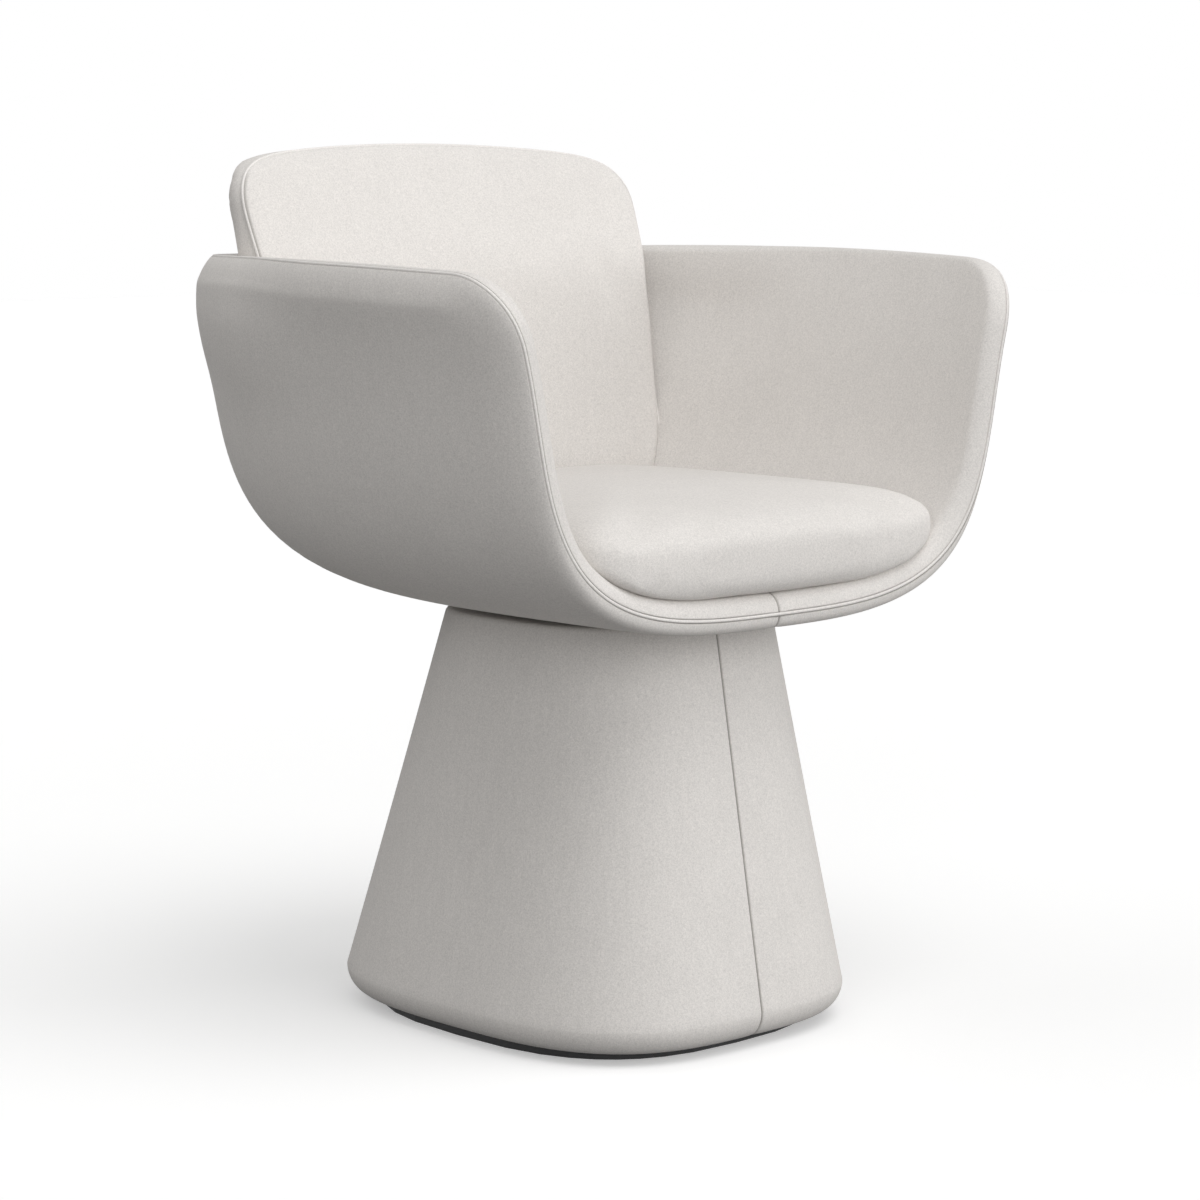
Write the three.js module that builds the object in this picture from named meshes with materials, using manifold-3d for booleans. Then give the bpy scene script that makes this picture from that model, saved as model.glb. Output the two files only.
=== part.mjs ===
// Pedestal swivel armchair: an upholstered tub on a tapered, upholstered pedestal.
// Millimetres, +Z up. The origin is on the floor, on the swivel axis; the sitter faces -Y.

import * as THREE from 'three';
import Module from 'manifold-3d';
import { mergeVertices } from 'three/addons/utils/BufferGeometryUtils.js';

const wasm = await Module();
wasm.setup();

// Driving dimensions: fits and allowances
const clearance = 0.3; // between pieces that rest on each other
const slipFit = 0.5; // round a pin or inside a sleeve that turns
const overrun = 5; // how far a cutter runs past what it cuts

// Driving dimensions: tub wall, measured on the middle of its thickness
const tubHalfWidth = 326;
const tubWidestY = -41;
const tubRearY = 350;
const tubFrontY = -200;
const tubGap = 0.8; // between the pedestal's cover and the tub's
const tubHeight = 302; // from the floor of the tub to the level where the wall's section ends
const tubPlanPower = 2.75;
const tubFrontTaperShare = 0.05;
const tubFloorTurnY = -99;
const tubFloorPower = 3.95;
const tubCornerPower = 3.25;
const tubCornerShare = 0.705; // how high the rounded corner of the section reaches
const tubLeanShare = 0.127; // how much narrower the section is at the floor
const tubHollowShare = 0.063; // how far the wall draws in between floor and arm
const armLineDrop = 22; // edge of the wall at the swivel axis, below the end of the section
const armRiseShare = 0.019; // rise of the arm line along the chair
const armCornerLength = 47;
const armCornerHeight = 49.5;

// Driving dimensions: tub layers
const shellThickness = 12;
const tubPadThickness = 9.7; // foam and fabric on each side of the shell
const rimPipingRadius = 2.2;
const rimPipingProud = 1.5;

// Driving dimensions: seat and back
const seatTopRise = 89; // these three above the floor of the tub
const seatBulgeRise = 54;
const backFootRise = 10;
const seatCrown = 10;
const seatFrontY = -215;
const seatRearY = 205; // before the back is cut out of it
const seatCornerPower = 20;
const seatShoulderPower = 2.7; // soft, rounded front and sides
const seatRearShoulderPower = 7; // nearly square where it meets the back
const seatUnderPower = 7; // nearly square underneath, where it rests on the tub
const backHeight = 387; // the next two are heights above the foot of the back
const backMiddleRise = 202;
const backRollStart = 212;
const backSideRoom = 90; // how much narrower than half the tub half the back is
const backFootY = 174; // front face of the back at its foot, at the side seams
const backLeanShare = 0.09;
const backRoll = 33; // how far the top edge rolls to the rear
const backHollow = 20; // how far the middle of the front face lies behind its side seams
const backCrownDrop = 14;
const backCornerPower = 10.5;
const groovePower = 12; // how narrow the welt's groove is
const crownPower = 6; // how flat the front pad's crown is
const backBulgeLossShare = 0.45; // of the rear bulge, lost towards the top
const backSideThickness = 42;
const backTopThinning = 21;
const backBulgeRoom = 5; // left between the back and the tub wall
const backPadThickness = 20;
const backPadCrown = 6;
const backRearEdge = 14; // rounding of the rear edge
const backBoardThickness = 12;
const backBoardInset = 34;
const backPipingRadius = 1.8;

// Driving dimensions: pedestal
const pedestalTopZ = 371.2; // also sets the level of the tub
const pedestalFloorZ = 9; // lower edge of the cover
const pedestalWideZ = 33;
const pedestalWideHalfX = 185.4;
const pedestalWideHalfY = 219;
const pedestalWideY = 20.6;
const pedestalWidePower = 3.07;
const pedestalNeckZ = 362;
const pedestalNeckHalfX = 132.5;
const pedestalNeckHalfY = 139.4;
const pedestalNeckY = -0.6;
const pedestalNeckPower = 2.7;
const pedestalFootInset = 19.5;
const pedestalShoulder = 4;
const coverThickness = 7;
const drumThickness = 6;
const basePlateThickness = 8.7;
const basePlateInset = 22; // at the sides
const basePlateEndInset = 32; // at front and rear
const basePlatePower = 2.8; // rounder corners than the cover's
const baseBoardThickness = 18;
const topBoardThickness = 18;
const ballastThickness = 9;
const ballastInset = 30;
const postSize = 40;
const postReach = 62; // from the swivel axis to the middle of a post, along X and Y

// Driving dimensions: swivel bearing and its fasteners
const swivelPlateRadius = 88;
const coverOpeningGap = 2; // round the swivel plate
const swivelPlateThickness = 3;
const ballDiameter = 6;
const ballCount = 10;
const ballCircleRadius = 57;
const cageWidth = 14;
const cageThickness = 2;

const pivotRadius = 8;
const pivotFlangeRadius = 14;
const pivotFlangeThickness = 2.4;
const pivotNutRadius = 13;
const pivotNutThickness = 7;
const pivotWasherRadius = 14;
const pivotWasherThickness = 1.4;
const pivotBoreRadius = 17;
const pivotTail = 1.6; // thread showing past the nut
const screwRadius = 2.4;
const screwHeadRadius = 4.8;
const screwHeadThickness = 1.8;
const longScrewLength = 22;
const shortScrewLength = 12;
const plateScrewInset = 12; // from the plate's rim to the middle of a screw
const baseScrewLength = 20;
const baseScrewReach = 110;
const boltRadius = 3;
const boltHeadRadius = 6.5;
const boltHeadThickness = 3;
const boltReachX = 110;
const boltZ = 560;
const boltSpotDepth = 2; // how deep the flat for a bolt head goes into the shell

// How finely curved surfaces are divided: counts, not lengths
const rimStations = 40;
const wallRings = 9;
const edgeSteps = 3;
const pedestalStations = 36;
const cushionStations = 40;
const cushionRings = 5;
const pipingSides = 6;
const plateSides = 32;
const cageSides = 20;
const screwSides = 8;
const boardStations = 20;
const boardRings = 3;
const bendLength = 350; // length that counts as much as a bend of one radian when spacing points

// Levels that follow from these sizes
const shellHalf = shellThickness / 2;
const coverInner = shellHalf + clearance;
const coverOuter = coverInner + tubPadThickness;
const tubFloorZ = pedestalTopZ + tubGap + coverOuter;
const tubLineZ = tubFloorZ + tubHeight;
const armLineZ = tubLineZ - armLineDrop;
const seatTopZ = tubFloorZ + seatTopRise;
const seatBulgeZ = tubFloorZ + seatBulgeRise;
const backFootZ = tubFloorZ + backFootRise;
const backTopZ = backFootZ + backHeight;
const backHalfWidth = tubHalfWidth - backSideRoom;
const backMiddleZ = backFootZ + backMiddleRise;
const backRollStartZ = backFootZ + backRollStart;

const plateScrewCircleRadius = swivelPlateRadius - plateScrewInset;

const materials = {
  wool: { color: '#d9d5cf', roughness: 0.95, metalness: 0 },
  piping: { color: '#d2cdc6', roughness: 0.95, metalness: 0 },
  plywood: { color: '#c9a877', roughness: 0.7, metalness: 0 },
  fibreboard: { color: '#9a7d58', roughness: 0.85, metalness: 0 },
  steel: { color: '#8d9094', roughness: 0.4, metalness: 0.9 },
  blackSteel: { color: '#1b1b1c', roughness: 0.6, metalness: 0.4 },
  nylon: { color: '#e8e6df', roughness: 0.5, metalness: 0 },
};

const chair = new THREE.Group();

// Adds one named piece with a material of its own.
function addPiece(name, solid, finish) {
  const mesh = new THREE.Mesh(solid.isBufferGeometry ? solid : toGeometry(solid),
    new THREE.MeshStandardMaterial(materials[finish]));
  mesh.name = name;
  chair.add(mesh);
  return mesh;
}

// Small vector helpers on [x, y, z] arrays
const add = (a, b) => [a[0] + b[0], a[1] + b[1], a[2] + b[2]];
const minus = (a, b) => [a[0] - b[0], a[1] - b[1], a[2] - b[2]];
const times = (a, k) => [a[0] * k, a[1] * k, a[2] * k];
const dot = (a, b) => a[0] * b[0] + a[1] * b[1] + a[2] * b[2];
const cross = (a, b) => [
  a[1] * b[2] - a[2] * b[1], a[2] * b[0] - a[0] * b[2], a[0] * b[1] - a[1] * b[0]];
const unit = (a) => times(a, 1 / Math.hypot(...a));
const clamp01 = (v) => Math.min(Math.max(v, 0), 1);
const mix = (a, b, k) => a + (b - a) * k;

// Turns a three.js geometry into a manifold solid that faces outwards, and back.
function toSolid(geometry) {
  const bare = new THREE.BufferGeometry();
  bare.setAttribute('position', geometry.getAttribute('position'));
  if (geometry.index) bare.setIndex(geometry.index);
  const merged = mergeVertices(bare, 1e-4);
  const solidOf = (triVerts) => new wasm.Manifold(new wasm.Mesh({
    numProp: 3,
    vertProperties: new Float32Array(merged.getAttribute('position').array),
    triVerts,
  }));
  const solid = solidOf(new Uint32Array(merged.index.array));
  return solid.volume() > 0 ? solid : solidOf(new Uint32Array(merged.index.array).reverse());
}

function toGeometry(solid) {
  const mesh = solid.getMesh();
  const geometry = new THREE.BufferGeometry();
  geometry.setAttribute('position', new THREE.BufferAttribute(mesh.vertProperties, 3));
  geometry.setIndex(new THREE.BufferAttribute(mesh.triVerts, 1));
  geometry.computeVertexNormals();
  return geometry;
}

// A closed body between two sheets of points that go all the way round. Each station holds as
// many points on sheet a as on sheet b. Both sheets split their squares along the same diagonal,
// so that sheets a clearance apart stay parallel, and the second half is split as a mirror image.
function sheetBody(stations) {
  const points = [];
  const triangles = [];
  const keys = new Map();
  const indexOf = (p) => {
    const key = p.map((v) => Math.round(v * 1e4)).join();
    if (!keys.has(key)) {
      keys.set(key, points.length / 3);
      points.push(...p);
    }
    return keys.get(key);
  };
  const triangle = (a, b, c) => {
    if (a !== b && b !== c && c !== a) triangles.push(a, b, c);
  };
  const quad = (a, b, c, d) => {
    triangle(a, b, c);
    triangle(a, c, d);
  };
  const rows = stations.map(({ a, b }) => ({ a: a.map(indexOf), b: b.map(indexOf) }));
  const last = rows[0].a.length - 1;
  const square = (mirrorImage, a, b, c, d) => {
    if (mirrorImage) quad(b, c, d, a);
    else quad(a, b, c, d);
  };
  rows.forEach((here, i) => {
    const next = rows[(i + 1) % rows.length];
    const mirrorImage = i >= rows.length / 2;
    for (let j = 0; j < last; j++) {
      square(mirrorImage, here.a[j], next.a[j], next.a[j + 1], here.a[j + 1]);
      square(mirrorImage, here.b[j], here.b[j + 1], next.b[j + 1], next.b[j]);
    }
    quad(here.b[0], next.b[0], next.a[0], here.a[0]);
    quad(here.a[last], next.a[last], next.b[last], here.b[last]);
  });
  const geometry = new THREE.BufferGeometry();
  geometry.setAttribute('position', new THREE.Float32BufferAttribute(points, 3));
  geometry.setIndex(triangles);
  return toSolid(geometry);
}

// Solids used as stock and as cutters
function cylinder(radius, lowZ, highZ, x = 0, y = 0, sides = 32) {
  const geometry = new THREE.CylinderGeometry(radius, radius, highZ - lowZ, sides);
  geometry.rotateX(Math.PI / 2);
  geometry.translate(x, y, (lowZ + highZ) / 2);
  return toSolid(geometry);
}

function block(low, high) {
  const size = minus(high, low);
  const geometry = new THREE.BoxGeometry(...size);
  geometry.translate(...times(add(low, high), 1 / 2));
  return toSolid(geometry);
}

// A body turned about a vertical axis from [radius, z] points that begin and end on the axis
function turned(profile, sides = 24) {
  const outline = profile.map(([radius, z]) => new THREE.Vector2(radius, z));
  const geometry = new THREE.LatheGeometry(outline, sides);
  geometry.rotateX(Math.PI / 2);
  return toSolid(geometry);
}

const mirrored = (solid) => solid.mirror([1, 0, 0]);

// The largest piece of a body that a cut has left in several
function largest(solid) {
  return solid.decompose().reduce((kept, piece) => (piece.volume() > kept.volume() ? piece : kept));
}

// Keeps the half of a body at +X, half a clearance away from the middle plane.
function rightHalf(solid) {
  const box = solid.boundingBox();
  const far = box.max.map((v) => v + overrun);
  return solid.intersect(block([clearance / 2, box.min[1] - overrun, box.min[2] - overrun], far));
}

// Tub wall: half width of the plan at a distance y, and height of its floor line there
function tubPlan(y) {
  const behind = clamp01((y - tubWidestY) / (tubRearY - tubWidestY));
  const ahead = Math.max(tubWidestY - y, 0) / (tubWidestY - tubFrontY);
  const closing = (1 - behind ** tubPlanPower) ** (1 / tubPlanPower);
  return tubHalfWidth * closing * (1 - tubFrontTaperShare * ahead ** 2);
}

function tubFloor(y) {
  const back = clamp01((y - tubFloorTurnY) / (tubRearY - tubFloorTurnY));
  const rise = 1 - (1 - back ** tubFloorPower) ** (1 / tubFloorPower);
  return mix(tubFloorZ, tubLineZ, rise);
}

// Half width of the U-shaped section at a share k of its height: a rounded lower corner
// times a wall that leans out and is slightly hollow.
function tubSectionShare(k) {
  if (k <= 0) return 0;
  const corner = (1 - (1 - Math.min(k / tubCornerShare, 1)) ** tubCornerPower) ** (1 / tubCornerPower);
  return corner * (1 - tubLeanShare * (1 - k) - tubHollowShare * 4 * k * (1 - k));
}

function tubHalf(y, z) {
  const floor = tubFloor(y);
  return tubPlan(y) * tubSectionShare((z - floor) / (tubLineZ - floor));
}

// A point of the wall seen from inside the tub along a direction, found by halving.
const tubEyeShare = 0.57;
const tubEye = [0, 0, mix(tubFloorZ, tubLineZ, tubEyeShare)];
const tubPole = unit([0, 1, -1]); // towards the rear of the floor, opposite the tub's opening
function tubPointAlong(direction) {
  let near = 0;
  let far = 2 * tubHalfWidth;
  for (let i = 0; i < 40; i++) {
    const middle = (near + far) / 2;
    const [x, y, z] = add(tubEye, times(direction, middle));
    const inside = z > tubFloor(y) && y < tubRearY && Math.abs(x) < tubHalf(y, z);
    if (inside) near = middle;
    else far = middle;
  }
  return add(tubEye, times(direction, near));
}

// The edge of the wall from the middle of the front lip, up the front of the arm, round its
// corner and along the arm to the middle of the rear.
function armLine(y) {
  return armLineZ + armRiseShare * y;
}

function rightEdge() {
  const dense = 160;
  const points = [];
  const frontTop = armLine(tubFrontY) - armCornerHeight;
  for (let i = 0; i <= dense; i++) {
    const z = mix(tubFloor(tubFrontY), frontTop, (i / dense) ** 3);
    points.push([tubHalf(tubFrontY, z), tubFrontY, z]);
  }
  for (let i = 1; i <= dense; i++) {
    const turn = (Math.PI / 2) * (i / dense);
    const y = tubFrontY + armCornerLength * (1 - Math.cos(turn));
    const z = armLine(y) - armCornerHeight * (1 - Math.sin(turn));
    points.push([tubHalf(y, z), y, z]);
  }
  for (let i = 1; i <= dense; i++) {
    const start = tubFrontY + armCornerLength;
    const y = mix(start, tubRearY, Math.sin((Math.PI / 2) * (i / dense)));
    points.push([i === dense ? 0 : tubHalf(y, armLine(y)), y, armLine(y)]);
  }
  return points;
}

// How far along a line each of its points is, where a bend counts as extra length, so that
// stations set by it lie closer together in bends
function reachAlong(points) {
  const reach = [0];
  for (let i = 1; i < points.length; i++) {
    const step = minus(points[i], points[i - 1]);
    const before = i > 1 ? minus(points[i - 1], points[i - 2]) : step;
    const bend = Math.acos(Math.min(dot(unit(step), unit(before)), 1));
    reach.push(reach[i - 1] + Math.hypot(...step) + bendLength * bend);
  }
  return reach;
}

// The place in a rising list where a share of its last value is reached, as a number with a
// fraction. Past one half the share runs back again, for outlines that are their own mirror image.
function placeIn(reach, share) {
  const turn = share - Math.floor(share);
  const goal = 2 * Math.min(turn, 1 - turn) * reach[reach.length - 1];
  let i = 1;
  while (i < reach.length - 1 && reach[i] < goal) i += 1;
  return i - 1 + (goal - reach[i - 1]) / (reach[i] - reach[i - 1]);
}
const onLeft = (share) => share - Math.floor(share) > 0.5;

const edgePoints = rightEdge();
const edgeReach = reachAlong(edgePoints);
// Share 0 is the middle of the lip, one half the middle of the rear, past it the left side.
function edgeAt(share) {
  const place = placeIn(edgeReach, share);
  const i = Math.min(Math.floor(place), edgePoints.length - 2);
  const [x, y, z] = edgePoints[i].map((v, axis) => mix(v, edgePoints[i + 1][axis], place - i));
  return [onLeft(share) ? -x : x, y, z];
}

// Turns for the stations of an outline given by its point at each turn: share 0 is its middle
// at the front, or underneath when it stands upright.
function spacedTurns(pointAt) {
  const dense = 360;
  const turnAt = (i) => Math.PI * (i / dense - 0.5);
  const points = [];
  for (let i = 0; i <= dense; i++) points.push(pointAt(turnAt(i)));
  const reach = reachAlong(points);
  return (share) => {
    const turn = turnAt(placeIn(reach, share));
    return onLeft(share) ? Math.PI - turn : turn;
  };
}

// The wall as a disc: ring 0 is at the pole, ring 1 is the edge.
function wallPoint(ring, share) {
  const edge = unit(minus(edgeAt(share), tubEye));
  const swing = Math.acos(dot(tubPole, edge));
  const direction = add(times(tubPole, Math.sin((1 - ring) * swing)), times(edge, Math.sin(ring * swing)));
  return tubPointAlong(unit(direction));
}

const wallStep = 0.004; // share of the disc over which slopes are taken
function wallFrame(ring, share) {
  const point = ring === 1 ? edgeAt(share) : wallPoint(ring, share);
  let across = minus(wallPoint(wallStep, 0.5), wallPoint(wallStep, 0));
  let along = minus(wallPoint(wallStep, 0.25), wallPoint(wallStep, 0.75));
  if (ring > 0) {
    const inner = wallPoint(Math.max(ring - wallStep, wallStep / 2), share);
    across = minus(wallPoint(Math.min(ring + wallStep, 1), share), inner);
    along = minus(wallPoint(ring, share + wallStep), wallPoint(ring, share - wallStep));
  }
  let normal = unit(cross(across, along));
  if (dot(normal, minus(point, tubEye)) < 0) normal = times(normal, -1);
  let outward = unit(cross(along, normal));
  if (dot(outward, across) < 0) outward = times(outward, -1);
  return { point, normal, outward };
}

// One sheet at a distance from the middle of the wall, positive outside, which then turns round
// the edge of the wall through a share of a quarter turn.
function wallSheet(share, offset, turnShare) {
  const sheet = [];
  for (let i = 0; i <= wallRings; i++) {
    const { point, normal } = wallFrame(i / wallRings, share);
    sheet.push(add(point, times(normal, offset)));
  }
  const edge = wallFrame(1, share);
  for (let i = 1; i <= edgeSteps && turnShare > 0; i++) {
    const turn = (Math.PI / 2) * turnShare * (i / edgeSteps);
    const side = times(edge.normal, offset * Math.cos(turn));
    const ahead = times(edge.outward, Math.abs(offset) * Math.sin(turn));
    sheet.push(add(edge.point, add(side, ahead)));
  }
  return sheet;
}

function wallBody(sheetA, sheetB) {
  const stations = [];
  for (let i = 0; i < rimStations; i++) {
    stations.push({
      a: wallSheet(i / rimStations, sheetA.offset, sheetA.turnShare),
      b: wallSheet(i / rimStations, sheetB.offset, sheetB.turnShare),
    });
  }
  return sheetBody(stations);
}

const pipingCentre = coverOuter + rimPipingProud - rimPipingRadius;
// The covers stop short of the piping in the seam.
const pipingRoomShare = (rimPipingRadius + clearance) / (coverOuter * (Math.PI / 2));
const coverTurnShare = 1 - pipingRoomShare;
const coverTurnInnerShare = 1 - (rimPipingRadius + clearance) / (coverInner * (Math.PI / 2));

// Swivel stack, worked down from the shell
const shellUnderZ = tubFloorZ - shellHalf;
const upperPlateTopZ = shellUnderZ - clearance;
const upperPlateZ = upperPlateTopZ - swivelPlateThickness;
const ballTopZ = upperPlateZ - clearance;
const ballBottomZ = ballTopZ - ballDiameter;
const lowerPlateTopZ = ballBottomZ - clearance;
const lowerPlateZ = lowerPlateTopZ - swivelPlateThickness;
const spacerTopZ = lowerPlateZ - clearance;
const topBoardTopZ = pedestalTopZ - coverThickness - clearance;
const topBoardZ = topBoardTopZ - topBoardThickness;
const spacerZ = topBoardTopZ + clearance;

// Screw positions round a circle, at 45 degrees to the chair's axes
const screwPlaces = [0, 1, 2, 3].map((i) => {
  const turn = Math.PI / 4 + (i * Math.PI) / 2;
  return [plateScrewCircleRadius * Math.cos(turn), plateScrewCircleRadius * Math.sin(turn)];
});

// A flat-headed screw standing on z: its head reaches to headZ and its shank runs the other way.
function screw(headZ, length, direction, grow = 0) {
  const faceZ = headZ + direction * grow;
  const neckZ = headZ - direction * (screwHeadThickness + grow);
  const tipZ = headZ - direction * (length + grow);
  const radius = screwRadius + grow;
  const profile = [[0, faceZ], [screwHeadRadius + grow, faceZ], [screwHeadRadius + grow, neckZ],
    [radius, neckZ], [radius, tipZ], [0, tipZ]];
  return turned(profile, screwSides);
}

const lowerScrew = (grow) => screw(lowerPlateTopZ, longScrewLength, 1, grow);
const upperScrew = (grow) => screw(upperPlateZ, shortScrewLength, -1, grow);
const cutAt = (solid, cutter, places) =>
  places.reduce((left, [x, y]) => left.subtract(cutter.translate([x, y, 0])), solid);

// Tub shell with its bolt holes, and the covers on both sides of it
function buildTub() {
  const pivotRecess = cylinder(pivotFlangeRadius + slipFit, shellUnderZ - overrun,
    upperPlateTopZ + pivotFlangeThickness + 2 * clearance);
  let shell = wallBody(
    { offset: shellHalf, turnShare: 0 }, { offset: -shellHalf, turnShare: 0 });
  shell = cutAt(shell.subtract(pivotRecess), upperScrew(clearance), screwPlaces);
  let outer = wallBody(
    { offset: coverOuter, turnShare: coverTurnShare },
    { offset: coverInner, turnShare: coverTurnInnerShare });
  outer = outer.subtract(cylinder(swivelPlateRadius + slipFit, tubFloorZ - 2 * coverOuter, tubFloorZ));
  const inner = wallBody(
    { offset: -coverInner, turnShare: coverTurnInnerShare },
    { offset: -coverOuter, turnShare: coverTurnShare });
  return { shell, outer, inner };
}

// A round welt that follows a closed line of points, each with two directions across it
function welt(frames, radius, sides) {
  const points = [];
  const triangles = [];
  frames.forEach(({ point, normal, outward }) => {
    for (let j = 0; j < sides; j++) {
      const turn = (2 * Math.PI * j) / sides;
      const across = add(times(normal, radius * Math.cos(turn)), times(outward, radius * Math.sin(turn)));
      points.push(...add(point, across));
    }
  });
  const count = frames.length;
  for (let i = 0; i < count; i++) {
    for (let j = 0; j < sides; j++) {
      const a = i * sides + j;
      const b = i * sides + ((j + 1) % sides);
      const c = ((i + 1) % count) * sides + ((j + 1) % sides);
      const d = ((i + 1) % count) * sides + j;
      triangles.push(a, b, c, a, c, d);
    }
  }
  const geometry = new THREE.BufferGeometry();
  geometry.setAttribute('position', new THREE.Float32BufferAttribute(points, 3));
  geometry.setIndex(triangles);
  return toSolid(geometry);
}

function buildRimPiping() {
  const frames = [];
  for (let i = 0; i < rimStations; i++) {
    const { point, normal, outward } = wallFrame(1, i / rimStations);
    frames.push({ point: add(point, times(outward, pipingCentre)), normal, outward });
  }
  return welt(frames, rimPipingRadius, pipingSides);
}

// Everything that the dressed tub fills, grown by the clearance, to cut the seat cushion by
function tubFilled() {
  const offset = coverOuter + clearance;
  return wallBody(
    { offset, turnShare: 1 }, { offset: -offset, turnShare: 1 });
}

// The room inside the dressed tub, carried on upwards to a far point, to fit the back into
function tubRoom() {
  const farPoint = [0, tubRearY / 3, 10 * tubLineZ];
  const stations = [];
  for (let i = 0; i < rimStations; i++) {
    const sheet = wallSheet(i / rimStations, -(coverOuter + clearance), 0);
    stations.push({ a: sheet, b: sheet.map(() => farPoint) });
  }
  return sheetBody(stations);
}

// Seat cushion outline: the smooth minimum of the way to the side wall and to the front or rear
const seatMiddleY = (seatFrontY + seatRearY) / 2;
function seatReach(turn) {
  const [side, run] = [Math.abs(Math.cos(turn)), Math.sin(turn)];
  let sideReach = tubHalfWidth;
  for (let i = 0; i < 24; i++) {
    const y = Math.min(Math.max(seatMiddleY + sideReach * run, seatFrontY), seatRearY);
    const wall = tubHalf(y, seatBulgeZ) - coverOuter - 2 * clearance;
    sideReach = mix(sideReach, wall / Math.max(side, 1e-6), 0.5);
  }
  const endReach = (seatRearY - seatFrontY) / 2 / Math.max(Math.abs(run), 1e-6);
  return (sideReach ** -seatCornerPower + endReach ** -seatCornerPower) ** (-1 / seatCornerPower);
}

function seatPoint(turn) {
  const reach = seatReach(turn);
  return [reach * Math.cos(turn), seatMiddleY + reach * Math.sin(turn), 0];
}
const seatTurn = spacedTurns(seatPoint);

// From the middle of the cushion out to the bulge, where top and underside meet
function seatSheet(share, faceZ, crown, edgePower) {
  const [edgeX, edgeY] = seatPoint(seatTurn(share));
  const rearward = clamp01((edgeY - seatMiddleY) / (seatRearY - seatMiddleY)) ** 4;
  const power = mix(edgePower, seatRearShoulderPower, rearward);
  const sheet = [];
  for (let i = 0; i <= cushionRings; i++) {
    const swing = (Math.PI / 2) * (i / cushionRings);
    const out = i === cushionRings ? 1 : Math.sin(swing) ** (2 / power);
    const up = i === cushionRings ? 0 : Math.cos(swing) ** (2 / power);
    const z = mix(seatBulgeZ, faceZ, up) + crown * up * (1 - out ** 2);
    sheet.push([edgeX * out, mix(seatMiddleY, edgeY, out), z]);
  }
  return sheet;
}

const seatFloorZ = tubFloorZ + coverOuter + clearance;
function buildSeat(filled, backSpace) {
  const stations = [];
  for (let i = 0; i < cushionStations; i++) {
    const share = i / cushionStations;
    stations.push({
      a: seatSheet(share, seatTopZ, seatCrown, seatShoulderPower),
      b: seatSheet(share, seatFloorZ, 0, seatUnderPower),
    });
  }
  return largest(sheetBody(stations).subtract(filled).subtract(backSpace));
}

// Back: front face through its side seams, thickness there, and its outline seen from the front
function backSeamY(z) {
  const rolled = clamp01((z - backRollStartZ) / (backTopZ - backRollStartZ));
  return backFootY + backLeanShare * (z - backFootZ) + backRoll * rolled ** 2;
}

function backFaceY(x, z) {
  return backSeamY(z) + backHollow * (1 - Math.min(Math.abs(x) / backHalfWidth, 1) ** 2);
}

function backRearY(x, z) {
  const rolled = clamp01((z - backRollStartZ) / (backTopZ - backRollStartZ));
  const sideY = backSeamY(z) + backSideThickness - backTopThinning * rolled ** 2;
  const wallY = tubRearY - coverOuter - backBulgeRoom;
  const fullBulge = wallY - backSeamY(backRollStartZ) - backSideThickness;
  const bulge = fullBulge * (1 - backBulgeLossShare * rolled ** 2);
  return sideY + bulge * (1 - Math.min(Math.abs(x) / backHalfWidth, 1) ** 2) ** 1.4;
}

function backOutline(turn, inset) {
  const halfWidth = backHalfWidth - inset;
  const [side, up] = [Math.cos(turn), Math.sin(turn)];
  let reach = halfWidth;
  for (let i = 0; i < 12; i++) {
    const x = Math.min(Math.abs(reach * side), halfWidth);
    const topZ = backTopZ - inset - backCrownDrop * (x / backHalfWidth) ** 2;
    const height = up > 0 ? topZ - backMiddleZ : backMiddleZ - backFootZ - inset;
    const spread = Math.abs(side / halfWidth) ** backCornerPower + Math.abs(up / height) ** backCornerPower;
    reach = spread ** (-1 / backCornerPower);
  }
  return [reach * side, backMiddleZ + reach * up];
}

const backTurn = spacedTurns((turn) => [...backOutline(turn, 0), 0]);

// A sheet of the back from its middle to its outline, at a depth given for each place. With a
// rounded edge the last rows turn round it, which takes room from the outline.
function backSheet(turn, inset, rings, depthAt, round) {
  const [edgeX, edgeZ] = backOutline(turn, inset);
  const [roundX, roundZ] = backOutline(turn, inset + round);
  const sheet = [];
  for (let i = 0; i <= rings; i++) {
    const out = Math.sin((Math.PI / 2) * (i / rings)) ** 0.8;
    const x = mix(0, roundX, out);
    const z = mix(backMiddleZ, roundZ, out);
    sheet.push([x, depthAt(x, z, out), z]);
  }
  const [, edgeY] = sheet[rings];
  for (let i = 1; i <= edgeSteps; i++) {
    const swing = (Math.PI / 2) * (i / edgeSteps);
    const x = mix(roundX, edgeX, Math.sin(swing));
    const z = mix(roundZ, edgeZ, Math.sin(swing));
    sheet.push([x, edgeY - round * (1 - Math.cos(swing)), z]);
  }
  return sheet;
}

function backBody(inset, count, rings, front, rear) {
  const stations = [];
  for (let i = 0; i < count; i++) {
    const turn = backTurn(i / count);
    stations.push({
      a: backSheet(turn, inset, rings, front.depthAt, front.round),
      b: backSheet(turn, inset, rings, rear.depthAt, rear.round),
    });
  }
  return sheetBody(stations);
}

// The front pad stops at the seam; the welt lies in a groove between it and the rear pad.
const weltRoom = backPipingRadius + clearance;
const boardFront = (x, z) => backFaceY(x, z) + backPadThickness;
const boardRear = (x, z) => boardFront(x, z) + backBoardThickness;

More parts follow.
